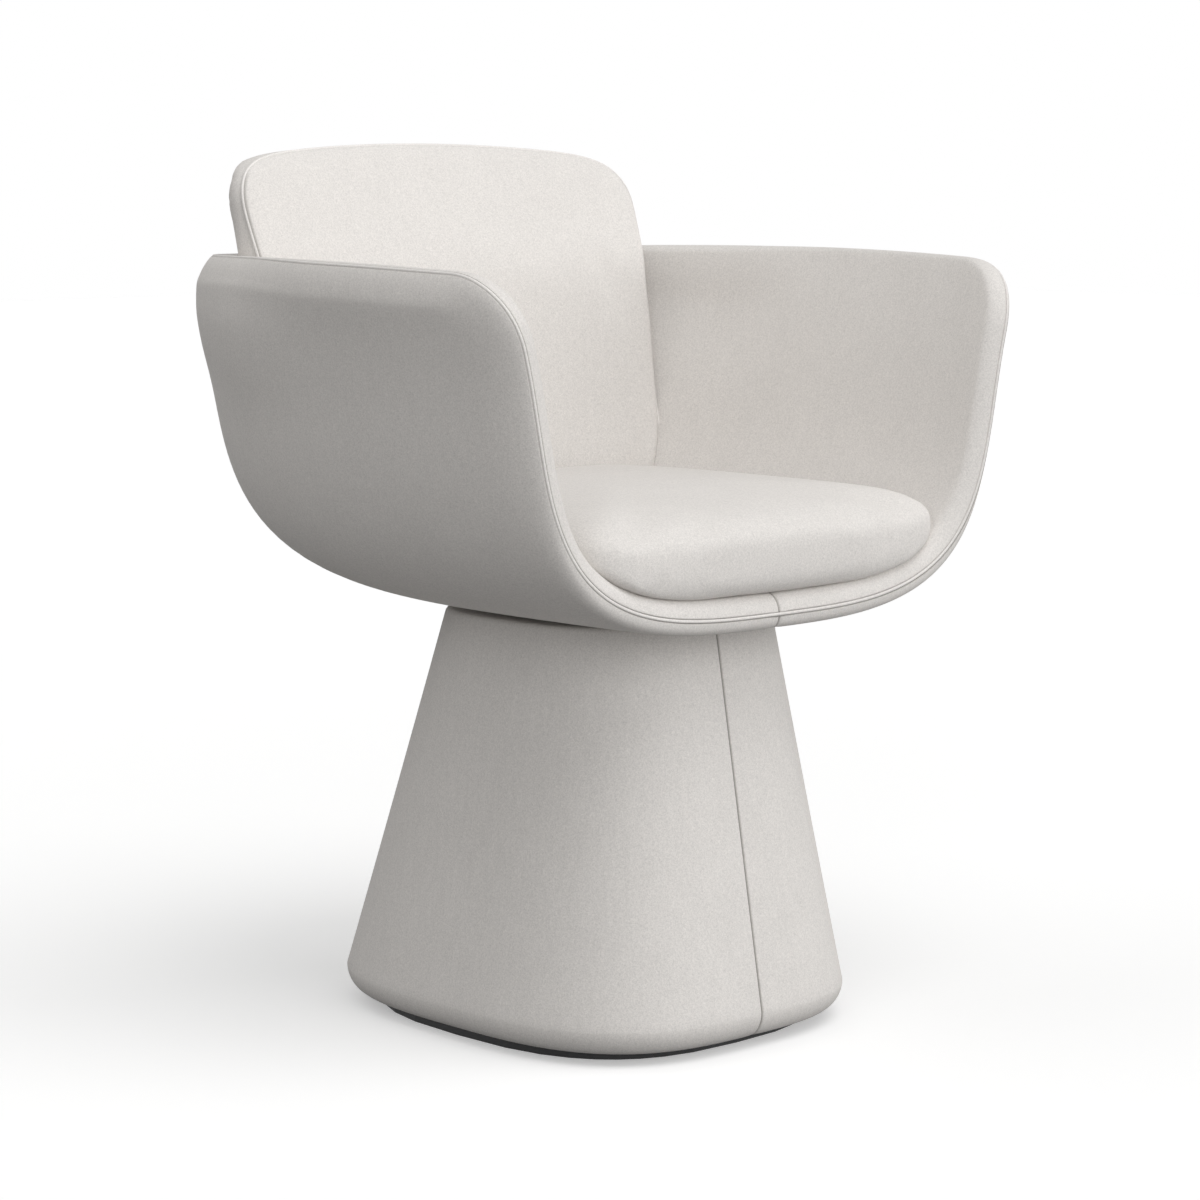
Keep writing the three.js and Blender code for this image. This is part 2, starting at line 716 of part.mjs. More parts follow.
function buildBack(room) {
  const groove = (out) => weltRoom * out ** groovePower;
  const padFace = (x, z, out) => backFaceY(x, z) - weltRoom - backPadCrown * (1 - out ** crownPower);
  const front = backBody(0, cushionStations, cushionRings, { depthAt: padFace, round: 0 },
    { depthAt: (x, z, out) => backFaceY(x, z) - groove(out), round: 0 });
  const rear = backBody(0, cushionStations, cushionRings,
    { depthAt: (x, z, out) => backFaceY(x, z) + clearance + groove(out), round: 0 },
    { depthAt: backRearY, round: backRearEdge });
  const board = backBody(backBoardInset, boardStations, boardRings,
    { depthAt: boardFront, round: 0 }, { depthAt: boardRear, round: 0 });
  const pocket = backBody(backBoardInset - clearance, boardStations, boardRings,
    { depthAt: (x, z) => boardFront(x, z) - clearance, round: 0 },
    { depthAt: (x, z) => boardRear(x, z) + clearance, round: 0 });
  const space = backBody(0, cushionStations, cushionRings,
    { depthAt: (x, z, out) => padFace(x, z, out) - 2 * clearance, round: 0 },
    { depthAt: () => tubRearY, round: 0 });
  return {
    front: largest(front.intersect(room)),
    rear: largest(rear.intersect(room).subtract(pocket)),
    board: largest(board.intersect(room)),
    space: space.add(space.translate([0, 0, -backSideThickness])),
  };
}

function buildBackPiping() {
  const frames = [];
  const lineAt = (share) => {
    const [x, z] = backOutline(backTurn(share), backPipingRadius / 2);
    return [x, backFaceY(x, z) + clearance / 2, z];
  };
  for (let i = 0; i < cushionStations; i++) {
    const share = i / cushionStations;
    const along = minus(lineAt(share + wallStep), lineAt(share - wallStep));
    const normal = unit(cross(along, [0, 1, 0]));
    frames.push({ point: lineAt(share), normal, outward: unit(cross(along, normal)) });
  }
  return welt(frames, backPipingRadius, pipingSides);
}

// A round bar along Y, for the bolts that hold the back and their holes
function barAlongY(x, z, radius, fromY, toY) {
  const geometry = new THREE.CylinderGeometry(radius, radius, toY - fromY, screwSides);
  geometry.translate(x, (fromY + toY) / 2, z);
  return toSolid(geometry);
}

// Where the middle of the tub's rear wall lies for a place seen from the front
function tubRearAt(x, z) {
  let near = tubWidestY;
  let far = tubRearY;
  for (let i = 0; i < 40; i++) {
    const middle = (near + far) / 2;
    if (tubHalf(middle, z) > x) near = middle;
    else far = middle;
  }
  return near;
}

// Pedestal: a superellipse section that narrows from its widest level to the neck
function pedestalSection(z) {
  const k = (z - pedestalWideZ) / (pedestalNeckZ - pedestalWideZ);
  return {
    halfX: mix(pedestalWideHalfX, pedestalNeckHalfX, k),
    halfY: mix(pedestalWideHalfY, pedestalNeckHalfY, k),
    middleY: mix(pedestalWideY, pedestalNeckY, k),
    power: mix(pedestalWidePower, pedestalNeckPower, k),
  };
}

function sectionPoint({ halfX, halfY, middleY, power }, turn, z) {
  const [side, run] = [Math.cos(turn), Math.sin(turn)];
  const spread = Math.abs(side / halfX) ** power + Math.abs(run / halfY) ** power;
  const reach = spread ** (-1 / power);
  return [reach * side, middleY + reach * run, z];
}

function pedestalPoint(turn, z, inset) {
  const { halfX, halfY, ...rest } = pedestalSection(Math.max(z, pedestalWideZ));
  return sectionPoint({ halfX: halfX - inset, halfY: halfY - inset, ...rest }, turn, z);
}

const pedestalTurn = spacedTurns((turn) => pedestalPoint(turn, pedestalWideZ, 0));

// A round-cornered plate: an outline point for every turn at a lower and at an upper level
function plateBody(lowZ, lowPoint, highZ, highPoint) {
  const stations = [];
  const axis = (z) => [0, pedestalSection(Math.max(z, pedestalWideZ)).middleY, z];
  for (let i = 0; i < pedestalStations; i++) {
    const turn = pedestalTurn(i / pedestalStations);
    stations.push({ a: [axis(highZ), highPoint(turn)], b: [axis(lowZ), lowPoint(turn)] });
  }
  return sheetBody(stations);
}

// A board that follows the pedestal, drawn in by an inset at either level
function pedestalBoard(lowZ, lowInset, highZ, highInset) {
  return plateBody(lowZ, (turn) => pedestalPoint(turn, lowZ, lowInset),
    highZ, (turn) => pedestalPoint(turn, highZ, highInset));
}

const wallLevels = 3;
const liningZ = pedestalTopZ - coverThickness;
const boardInset = coverThickness + clearance;
const topBoardInset = boardInset + clearance;
const footInset = pedestalFootInset + coverThickness;
const baseBoardZ = basePlateThickness + clearance;
const baseBoardTopZ = baseBoardZ + baseBoardThickness;

function pedestalCover() {
  const stations = [];
  const footSteps = 3;
  const shoulderZ = pedestalTopZ - pedestalShoulder;
  const opening = swivelPlateRadius + coverOpeningGap;
  for (let i = 0; i < pedestalStations; i++) {
    const turn = pedestalTurn(i / pedestalStations);
    const outer = [];
    const inner = [];
    for (let j = 0; j < footSteps; j++) {
      const swing = (Math.PI / 2) * (j / footSteps);
      const z = mix(pedestalWideZ, pedestalFloorZ, Math.cos(swing));
      outer.push(pedestalPoint(turn, z, pedestalFootInset * (1 - Math.sin(swing))));
      const up = j / (footSteps - 1);
      inner.push(pedestalPoint(turn, mix(pedestalFloorZ, baseBoardTopZ, up),
        mix(footInset, coverThickness, up)));
    }
    for (let j = 0; j <= wallLevels; j++) {
      outer.push(pedestalPoint(turn, mix(pedestalWideZ, shoulderZ, j / wallLevels), 0));
      inner.push(pedestalPoint(turn, mix(pedestalWideZ, liningZ, j / wallLevels), coverThickness));
    }
    for (let j = 1; j <= edgeSteps; j++) {
      const swing = (Math.PI / 2) * (j / edgeSteps);
      const z = shoulderZ + pedestalShoulder * Math.sin(swing);
      outer.push(pedestalPoint(turn, z, pedestalShoulder * (1 - Math.cos(swing))));
      inner.push(pedestalPoint(turn, liningZ, coverThickness + pedestalShoulder * (j / edgeSteps)));
    }
    const round = Math.atan2(outer[0][1], outer[0][0]);
    outer.push([opening * Math.cos(round), opening * Math.sin(round), pedestalTopZ]);
    inner.push([opening * Math.cos(round), opening * Math.sin(round), liningZ]);
    stations.push({ a: outer, b: inner });
  }
  return sheetBody(stations);
}

// The drum stands against the cover's lining, so its levels are those of the lining.
function pedestalDrum() {
  const stations = [];
  const levels = [baseBoardTopZ + clearance];
  for (let j = 0; j < wallLevels; j++) levels.push(mix(pedestalWideZ, liningZ, j / wallLevels));
  levels.push(topBoardZ - clearance);
  for (let i = 0; i < pedestalStations; i++) {
    const turn = pedestalTurn(i / pedestalStations);
    stations.push({
      a: levels.map((z) => pedestalPoint(turn, z, topBoardInset)),
      b: levels.map((z) => pedestalPoint(turn, z, topBoardInset + drumThickness)),
    });
  }
  return sheetBody(stations);
}

const postPlaces = {
  front_left: [-postReach, -postReach],
  front_right: [postReach, -postReach],
  rear_left: [-postReach, postReach],
  rear_right: [postReach, postReach],
};

function post([x, y], grow = 0) {
  const half = postSize / 2 + grow;
  const lowZ = baseBoardTopZ + clearance - grow;
  const highZ = topBoardZ - clearance + grow;
  return block([x - half, y - half, lowZ], [x + half, y + half, highZ]);
}

// Ball ring: balls held half out of a flat cage
function buildBallRing() {
  const middleZ = (ballTopZ + ballBottomZ) / 2;
  const cage = cylinder(ballCircleRadius + cageWidth / 2, middleZ - cageThickness / 2,
    middleZ + cageThickness / 2, 0, 0, cageSides);
  let ring = cage.subtract(cylinder(ballCircleRadius - cageWidth / 2, middleZ - cageThickness,
    middleZ + cageThickness, 0, 0, cageSides));
  for (let i = 0; i < ballCount; i++) {
    const turn = (2 * Math.PI * i) / ballCount;
    const ball = new THREE.SphereGeometry(ballDiameter / 2, 6, 4);
    ball.rotateX(Math.PI / 2);
    ball.translate(ballCircleRadius * Math.cos(turn), ballCircleRadius * Math.sin(turn), middleZ);
    ring = ring.add(toSolid(ball));
  }
  return ring;
}

// Pedestal pieces
const basePlateSection = {
  halfX: pedestalWideHalfX - basePlateInset,
  halfY: pedestalWideHalfY - basePlateEndInset,
  middleY: pedestalWideY,
  power: basePlatePower,
};
const basePlateSolid = plateBody(0, (turn) => sectionPoint(basePlateSection, turn, 0),
  basePlateThickness, (turn) => sectionPoint(basePlateSection, turn, basePlateThickness));
const baseScrewPlaces = [[1, 1], [-1, 1], [-1, -1], [1, -1]].map(([sx, sy]) =>
  [sx * baseScrewReach, pedestalWideY + sy * baseScrewReach]);
const baseScrew = (grow) => screw(clearance, baseScrewLength, -1, grow);
addPiece('base_plate', cutAt(basePlateSolid, baseScrew(clearance), baseScrewPlaces), 'blackSteel');
const baseBoard = pedestalBoard(baseBoardZ, footInset + 2 * clearance, baseBoardTopZ, boardInset);
addPiece('base_board', cutAt(baseBoard, baseScrew(clearance), baseScrewPlaces), 'plywood');
baseScrewPlaces.forEach(([x, y], i) => {
  addPiece(`base_screw_${i + 1}`, baseScrew(0).translate([x, y, 0]), 'steel');
});
const ballastZ = baseBoardTopZ + clearance;
let ballast = pedestalBoard(ballastZ, boardInset + ballastInset, ballastZ + ballastThickness,
  boardInset + ballastInset);
Object.values(postPlaces).forEach((place) => {
  ballast = ballast.subtract(post(place, slipFit));
});
addPiece('ballast_plate', ballast, 'blackSteel');
Object.entries(postPlaces).forEach(([corner, place]) => {
  addPiece(`frame_post_${corner}`, post(place), 'plywood');
});
const topBoard = pedestalBoard(topBoardZ, topBoardInset, topBoardTopZ, topBoardInset)
  .subtract(cylinder(pivotBoreRadius, topBoardZ - overrun, topBoardTopZ + overrun));
addPiece('top_board', cutAt(topBoard, lowerScrew(clearance), screwPlaces), 'plywood');
addPiece('pedestal_drum', pedestalDrum(), 'fibreboard');
const coverRight = rightHalf(pedestalCover());
addPiece('pedestal_cover_right', coverRight, 'wool');
addPiece('pedestal_cover_left', mirrored(coverRight), 'wool');

// Swivel bearing
const spacer = cylinder(swivelPlateRadius, spacerZ, spacerTopZ, 0, 0, plateSides)
  .subtract(cylinder(pivotBoreRadius, spacerZ - overrun, spacerTopZ + overrun));
addPiece('spacer_disc', cutAt(spacer, lowerScrew(clearance), screwPlaces), 'plywood');
const pivotHole = cylinder(pivotRadius + slipFit, lowerPlateZ - overrun, upperPlateTopZ + overrun);
const swivelPlate = (lowZ, highZ) =>
  cylinder(swivelPlateRadius, lowZ, highZ, 0, 0, plateSides).subtract(pivotHole);
const lowerPlate = swivelPlate(lowerPlateZ, lowerPlateTopZ);
addPiece('lower_swivel_plate', cutAt(lowerPlate, lowerScrew(clearance), screwPlaces), 'steel');
addPiece('swivel_ball_ring', buildBallRing(), 'nylon');
const upperPlate = swivelPlate(upperPlateZ, upperPlateTopZ);
addPiece('upper_swivel_plate', cutAt(upperPlate, upperScrew(clearance), screwPlaces), 'steel');
screwPlaces.forEach(([x, y], i) => {
  addPiece(`lower_plate_screw_${i + 1}`, lowerScrew(0).translate([x, y, 0]), 'steel');
  addPiece(`upper_plate_screw_${i + 1}`, upperScrew(0).translate([x, y, 0]), 'steel');
});
const washerTopZ = lowerPlateZ - clearance;
const washerZ = washerTopZ - pivotWasherThickness;
const nutTopZ = washerZ - clearance;
const nutZ = nutTopZ - pivotNutThickness;
const pivotFlangeZ = upperPlateTopZ + clearance;
addPiece('pivot_pin', turned([[0, nutZ - pivotTail], [pivotRadius, nutZ - pivotTail],
  [pivotRadius, pivotFlangeZ], [pivotFlangeRadius, pivotFlangeZ],
  [pivotFlangeRadius, pivotFlangeZ + pivotFlangeThickness - clearance],
  [0, pivotFlangeZ + pivotFlangeThickness - clearance]]), 'steel');
const pinHole = cylinder(pivotRadius + clearance, nutZ - overrun, washerTopZ + overrun);
addPiece('pivot_washer', cylinder(pivotWasherRadius, washerZ, washerTopZ).subtract(pinHole), 'steel');
addPiece('pivot_nut', cylinder(pivotNutRadius, nutZ, nutTopZ, 0, 0, 6).subtract(pinHole), 'steel');

// Tub, cushions and back
const tub = buildTub();
const room = tubRoom();
const back = buildBack(room);
const boltSeatY = tubRearAt(boltReachX, boltZ) + shellHalf - boltSpotDepth;
const boltTipY = boardRear(boltReachX, boltZ) - backBoardThickness / 2;
const alongBolt = (radius, fromY, toY) => barAlongY(boltReachX, boltZ, radius, fromY, toY);
const boltHole = alongBolt(boltRadius + clearance, boltTipY - clearance, boltSeatY + overrun);
const headRoom = alongBolt(boltHeadRadius + slipFit, boltSeatY, boltSeatY + boltHeadThickness + slipFit);
const spotFace = alongBolt(boltHeadRadius + slipFit, boltSeatY, boltSeatY + 2 * overrun);
const bothSides = (solid, cutter) => solid.subtract(cutter).subtract(mirrored(cutter));
addPiece('tub_shell', bothSides(bothSides(tub.shell, boltHole), spotFace), 'plywood');
const outerRight = rightHalf(tub.outer).subtract(headRoom);
addPiece('tub_outer_cover_right', outerRight, 'wool');
addPiece('tub_outer_cover_left', mirrored(outerRight), 'wool');
const innerRight = rightHalf(tub.inner).subtract(boltHole);
addPiece('tub_inner_cover_right', innerRight, 'wool');
addPiece('tub_inner_cover_left', mirrored(innerRight), 'wool');
addPiece('rim_piping', buildRimPiping(), 'piping');
addPiece('seat_cushion', buildSeat(tubFilled(), back.space), 'wool');
addPiece('back_front_pad', back.front, 'wool');
addPiece('back_rear_pad', bothSides(back.rear, boltHole), 'wool');
addPiece('back_board', bothSides(back.board, boltHole), 'plywood');
addPiece('back_piping', largest(buildBackPiping().intersect(room)), 'piping');
const boltHeadY = boltSeatY + clearance;
const boltRight = alongBolt(boltRadius, boltTipY, boltHeadY)
  .add(alongBolt(boltHeadRadius, boltHeadY - clearance / 10, boltHeadY + boltHeadThickness));
addPiece('back_bolt_right', boltRight, 'steel');
addPiece('back_bolt_left', mirrored(boltRight), 'steel');

export default chair;
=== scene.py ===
import math

import bpy
import numpy as np
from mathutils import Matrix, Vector


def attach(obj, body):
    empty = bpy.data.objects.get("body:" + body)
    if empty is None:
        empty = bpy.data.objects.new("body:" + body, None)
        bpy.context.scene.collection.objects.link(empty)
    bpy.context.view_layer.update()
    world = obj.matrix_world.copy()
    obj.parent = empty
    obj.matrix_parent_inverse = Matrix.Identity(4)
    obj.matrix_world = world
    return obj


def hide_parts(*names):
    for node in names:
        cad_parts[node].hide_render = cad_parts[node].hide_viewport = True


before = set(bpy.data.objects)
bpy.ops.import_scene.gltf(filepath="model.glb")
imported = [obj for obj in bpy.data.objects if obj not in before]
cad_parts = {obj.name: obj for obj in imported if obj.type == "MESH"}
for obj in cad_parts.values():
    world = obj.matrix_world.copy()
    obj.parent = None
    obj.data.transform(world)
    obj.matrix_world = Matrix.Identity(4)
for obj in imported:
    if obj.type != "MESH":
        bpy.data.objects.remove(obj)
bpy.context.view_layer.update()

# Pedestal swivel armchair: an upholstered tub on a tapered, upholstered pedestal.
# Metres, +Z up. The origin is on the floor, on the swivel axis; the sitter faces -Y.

for spare in ("Cube", "Light", "Camera"):
    if spare in bpy.data.objects:
        bpy.data.objects.remove(bpy.data.objects[spare])

scene = bpy.context.scene
MM = 0.001

# ---------------- sizes
# Tub wall, measured on the middle of its thickness
TUB_HALF_WIDTH, TUB_WIDEST_Y = 0.326, -0.041
TUB_FRONT_Y, TUB_REAR_Y = -0.200, 0.350
TUB_FLOOR_Z, TUB_LINE_Z = 0.388, 0.690
PLAN_POWER, PLAN_TAPER = 2.75, 0.042
FLOOR_RISE_Y, FLOOR_POWER = -0.099, 3.95
CORNER_POWER, CORNER_SHARE = 3.25, 0.705
WALL_LEAN, WALL_HOLLOW = 0.127, 0.063
REAR_SWELL, REAR_DRAW_IN = 0.016, 0.042
ARM_CREST_Z, ARM_CREST_Y, ARM_SAG = 0.672, 0.12, 0.08
ARM_CORNER_LENGTH, ARM_CORNER_HEIGHT, ARM_CORNER_POWER = 0.047, 0.0495, 2.5

# The wall is found as a disc of rays from an eye inside the tub, round a pole low on the rear
EYE_SHARE, HALVINGS, SLOPE_STEP, POLE_RING = 0.57, 36, 0.004, 0.02
TUB_EYE = np.array([0.0, 0.0, TUB_FLOOR_Z + EYE_SHARE * (TUB_LINE_Z - TUB_FLOOR_Z)])
TUB_POLE = np.array([0.0, 1.0, -1.0]) / math.sqrt(2)

# Padded covers outside and inside the shell, and the flat piping between them
COVER_OUT, COVER_IN, SHELL_HALF = 0.016, 0.0063, 5.9 * MM
COVER_COLUMNS, COVER_ROWS, APPROACH_ROWS, SHOULDER_ROWS = 280, 44, 8, 24
SHOULDER_OUTER, SHOULDER_FRONT, SHOULDER_INNER, SHOULDER_LIP = 0.027, 0.045, 0.009, 0.016
LIP_SQUARER, TOP_FLATTER = 0.8, 0.62
SECTION_START, SECTION_SMOOTHING = 0.045, 14
PIPING_LIP_MM, PIPING_FRONT_MM, PIPING_TOP_MM = 2.5, 4.0, -1.0
PIPING_HALF, PIPING_HALF_HIGH, PIPING_SINK, PIPING_POWER = 0.00145, 1.75 * MM, 1.5 * MM, 2.6
GROOVE_HALF = 0.0023
GROOVE_ROLL_MM = ((2.0, 0.2), (1.75, 0.6), (1.6, 1.3), (1.5, 3.0), (1.5, 8.0))
LINING_BEND, LINING_BEND_STEP = 62, 2.5

# Seams on the middle plane: stations beside them, and depth and width of the dip and the pucker
SEAM_STATIONS = np.array([0, 0.3, 0.6, 1.0, 1.5, 2.2, 3.2, 4.6, 6.5, 9, 12]) * MM
SEAM_GAP = 0.15 * MM
TUB_SEAM = (1.7 * MM, 0.9 * MM, 0.5 * MM, 8 * MM)
PED_SEAM = (1.8 * MM, 0.95 * MM, 0.35 * MM, 7 * MM)

# Seat cushion
SEAT_TOP_Z, SEAT_BULGE_Z, SEAT_FLOOR_Z, SEAT_CROWN = 0.477, 0.446, 0.4045, 0.010
SEAT_FRONT_Y, SEAT_REAR_Y = -0.230, 0.205
SEAT_MIDDLE_Y = (SEAT_FRONT_Y + SEAT_REAR_Y) / 2
SEAT_BOW, SEAT_BOW_REACH, SEAT_OUTLINE_POWER = 11 * MM, 0.22, 20.0
SEAT_SOFT_POWER, SEAT_SIDE_POWER, SEAT_SQUARE_POWER = 3.0, 5.0, 7.0
SEAT_PRESS, SEAT_SMALLER, SEAT_SWELL, SEAT_VOXEL = 1.5 * MM, 3 * MM, 5 * MM, 0.005
LIP_ROUND, LIP_CLEARANCE = 14 * MM, 0.5 * MM

# Back
BACK_TOP_Z, BACK_MIDDLE_Z, BACK_FOOT_Z, BACK_FOOT_Y = 0.785, 0.600, 0.398, 0.174
BACK_HALF_WIDTH, BACK_ROLL_START_Z, BACK_ROLL, BACK_HOLLOW = 0.236, 0.610, 0.033, 0.020
BACK_LEAN, BACK_TOP_DROP, BACK_POWER = 0.09, 0.014, 10.5
BACK_SIDE, BACK_SIDE_THINNER, BACK_BULGE_LESS = 0.0365, 0.010, 0.45
# Bells over the height: how far, at which level, how wide
BACK_FACE_BELLS = ((4.5 * MM, 0.670, 0.032), (13 * MM, 0.430, 0.09))
BACK_FLARE_BELLS = ((0.011, 0.738, 0.025), (-0.014, 0.660, 0.030))
BACK_COLUMNS, BACK_ROWS, BACK_EDGE_ROWS, BACK_EDGE_ROUND = 220, 44, 8, 14 * MM
PAD_EDGE, PAD_RISE, CREASE_ROUND = 0.4 * MM, 7.4 * MM, 6 * MM
PAD_SWELL, PAD_PRESS = 2.5 * MM, 3 * MM
WELT_RADIUS, WELT_PRESS, WELT_OUT, WELT_REAR = 0.0013, 3.5 * MM, 0.1 * MM, 0.15 * MM

# Pedestal; pairs hold the value at its widest level and at its neck
PED_TOP_Z, PED_FLOOR_Z, PED_WIDE_Z, PED_NECK_Z = 0.3712, 0.009, 0.033, 0.362
PED_HALF_X, PED_HALF_Y = (0.1854, 0.1325), (0.219, 0.1394)
PED_MIDDLE_Y, PED_POWER = (0.0206, -0.0006), (3.07, 2.7)
PED_SHOULDER, PED_OPENING, PED_SEAM_REACH = 4 * MM, 0.09, 0.2
FOOT_INSET, COVER_THICKNESS, BOARD_TOP_Z = 0.0195, 0.007, 0.027


# ---------------- small helpers
def clamp01(v):
    """v kept between 0 and 1."""
    return np.clip(v, 0.0, 1.0)


def mix(a, b, k):
    """a at k = 0, b at k = 1, in a straight line between."""
    return a + (b - a) * k


def unit(v):
    """Each vector divided by its length."""
    return v / np.maximum(np.linalg.norm(v, axis=-1, keepdims=True), 1e-12)


def dip(distance, width):
    """A bell: 1 at no distance, falling to 1/e at the width."""
    return np.exp(-((distance / width) ** 2))


def quarter_turn(count):
    """Angles from 0 to a quarter turn, as a column."""
    return np.linspace(0, np.pi / 2, count)[:, None]


def quarter_ellipse(t, power):
    """A quarter superellipse: 1 at t = 0, falling to 0 at t = 1."""
    return (1 - t**power) ** (1 / power)


def smooth_step(a, b, v):
    """0 below a, 1 above b, along 3t^2 - 2t^3 between."""
    t = clamp01((v - a) / (b - a))
    return t * t * (3 - 2 * t)


def positions(mesh):
    """Vertex positions of a mesh as an array."""
    co = np.zeros(len(mesh.vertices) * 3)
    mesh.vertices.foreach_get("co", co)
    return co.reshape(-1, 3)


def place(mesh, points):
    """Writes an array of vertex positions back to a mesh."""
    mesh.vertices.foreach_set("co", points.ravel())
    mesh.update()


def mark_seam_shade(mesh, values):
    """Stores the attribute "seam" of painted shade: 1 in the seams' grooves and creases, 0 on plain
    cloth.
    """
    layer = mesh.attributes.new("seam", "FLOAT", "POINT")
    layer.data.foreach_set("value", np.asarray(values, np.float32))


def shade_smooth(mesh):
    """Marks all faces as smooth."""
    mesh.polygons.foreach_set("use_smooth", np.ones(len(mesh.polygons), bool))


def add_object(name, data):
    """A new object with its data, in the scene."""
    made = bpy.data.objects.new(name, data)
    scene.collection.objects.link(made)
    return made


def put_mesh(name, points, faces, seam=None):
    """A smooth mesh object of squares, turned so that its signed volume is positive. Squares with
    two equal corners become triangles."""
    points = np.asarray(points, float)
    first, second, third, fourth = (points[faces[:, k]] for k in range(4))
    volume = (first * np.cross(second, third)).sum() + (first * np.cross(third, fourth)).sum()
    if volume < 0:
        faces = faces[:, ::-1]
    same = np.stack([faces[:, k] == faces[:, (k + 1) % 4] for k in range(4)], 1)
    quads = faces[~same.any(1)]
    halves = []
    for k in range(4):
        pick = faces[same[:, k] & (same.sum(1) == 1)]
        halves.append(np.delete(pick, k, axis=1))
    triangles = np.concatenate(halves)
    mesh = bpy.data.meshes.new(name)
    mesh.from_pydata(points.tolist(), [], quads.tolist() + triangles.tolist())
    shade_smooth(mesh)
    if seam is not None:
        mark_seam_shade(mesh, seam)
    mesh.update()
    return add_object(name, mesh)


def is_point(row):
    """Whether all points of a row fall together."""
    return np.ptp(row, axis=0).max() < 1e-9


def sheet_body(name, front, rear, around, seam=None):
    """A closed body between two sheets of points, rows by columns. Row 0 is a single point when
    the sheet starts at a pole. The last rows are joined; the columns close round on themselves
    (around) or end in caps of squares."""
    rows, columns = front.shape[:2]
    points = np.concatenate([front.reshape(-1, 3), rear.reshape(-1, 3)])
    grid = np.arange(2 * rows * columns).reshape(2, rows, columns)
    for side, sheet in enumerate((front, rear)):
        if is_point(sheet[0]):
            grid[side, 0] = grid[side, 0, 0]
    if around:
        grid = np.concatenate([grid, grid[:, :, :1]], axis=2)

    def squares(a, b, c, d):
        return np.stack([a.ravel(), b.ravel(), c.ravel(), d.ravel()], 1)

    f, r = grid
    faces = [
        squares(f[:-1, :-1], f[:-1, 1:], f[1:, 1:], f[1:, :-1]),
        squares(r[:-1, :-1], r[1:, :-1], r[1:, 1:], r[:-1, 1:]),
        squares(f[-1, :-1], f[-1, 1:], r[-1, 1:], r[-1, :-1]),
    ]
    if not is_point(front[0]):
        faces.append(squares(f[0, 1:], f[0, :-1], r[0, :-1], r[0, 1:]))
    if not around:
        faces.append(squares(f[1:, 0], r[1:, 0], r[:-1, 0], f[:-1, 0]))
        faces.append(squares(f[:-1, -1], r[:-1, -1], r[1:, -1], f[1:, -1]))
    faces = np.concatenate(faces)
    used = np.unique(faces)
    renumber = np.zeros(len(points), int)
    renumber[used] = np.arange(len(used))
    if seam is not None:
        seam = np.concatenate([seam.ravel(), np.zeros(rear[..., 0].size)])[used]
    return put_mesh(name, points[used], renumber[faces], seam)


def tube(name, centre, across, up, half_across, half_up, sides, power=2.0):
    """A closed tube round a closed line of centres. Its section is a superellipse with one half
    size along each of the two directions."""
    turn = 2 * np.pi * np.arange(sides) / sides
    a = np.sign(np.cos(turn)) * np.abs(np.cos(turn)) ** (2 / power) * half_across
    b = np.sign(np.sin(turn)) * np.abs(np.sin(turn)) ** (2 / power) * half_up
    points = centre[:, None] + across[:, None] * a[:, None] + up[:, None] * b[:, None]
    count = len(centre)
    grid = np.arange(count * sides).reshape(count, sides)
    grid = np.concatenate([grid, grid[:1]])
    grid = np.concatenate([grid, grid[:, :1]], axis=1)
    faces = np.stack([grid[:-1, :-1].ravel(), grid[1:, :-1].ravel(),
                      grid[1:, 1:].ravel(), grid[:-1, 1:].ravel()], 1)
    return put_mesh(name, points.reshape(-1, 3), faces, np.zeros(points[..., 0].size))


def mirrored(array):
    """The same points on the other side of the middle plane."""
    return array * np.array([-1.0, 1.0, 1.0])


def right_and_left(name, front, rear, seam):
    """A body of two sheets on the right, kept a hair off the middle plane, and its mirror image."""
    for sheet in (front, rear):
        sheet[..., 0] = np.maximum(sheet[..., 0], SEAM_GAP)
    right = sheet_body(name + "_right", front, rear, around=False, seam=seam)
    left = sheet_body(name + "_left", mirrored(front), mirrored(rear), around=False, seam=seam)
    return right, left


def seam_sink(x, deep, narrow, shallow, wide):
    """How far cloth sinks beside a middle seam: the sum of a narrow, deep bell and a wide one."""
    away = np.abs(x)
    return deep * dip(away, narrow) + shallow * dip(away, wide)


# ---------------- tub wall
def tub_plan(y):
    """Half width of the tub seen from above: a quarter superellipse of power 2.75 behind its
    widest line, and a taper that grows with the square of the distance in front of it."""
    behind = clamp01((y - TUB_WIDEST_Y) / (TUB_REAR_Y - TUB_WIDEST_Y))
    ahead = np.maximum(TUB_WIDEST_Y - y, 0) / (TUB_WIDEST_Y - TUB_FRONT_Y)
    return TUB_HALF_WIDTH * quarter_ellipse(behind, PLAN_POWER) * (1 - PLAN_TAPER * ahead**2)


def tub_floor(y):
    """Height of the tub's floor line: flat, then rising as a quarter superellipse of power 3.95
    into the rear wall."""
    back = clamp01((y - FLOOR_RISE_Y) / (TUB_REAR_Y - FLOOR_RISE_Y))
    return mix(TUB_FLOOR_Z, TUB_LINE_Z, 1 - quarter_ellipse(back, FLOOR_POWER))


def tub_half(y, z):
    """Half width at a height: the plan's half width times a rounded lower corner (superellipse of
    power 3.25) and a wall that leans out and is slightly hollow. Towards the rear the wall swells
    at three quarters of its height and draws in again below its edge."""
    floor = tub_floor(y)
    k = (z - floor) / np.maximum(TUB_LINE_Z - floor, 1e-6)
    up = np.clip(k, 0, None)
    corner = quarter_ellipse(1 - np.minimum(up / CORNER_SHARE, 1), CORNER_POWER)
    lean = 1 - WALL_LEAN * (1 - up) - WALL_HOLLOW * 4 * up * (1 - up)
    swollen = REAR_SWELL * dip(up - 0.72, 0.13) - REAR_DRAW_IN * smooth_step(0.78, 1.0, up)
    lean = lean + smooth_step(0.0, 0.16, y) * swollen
    return tub_plan(y) * corner * lean * (k > 0)


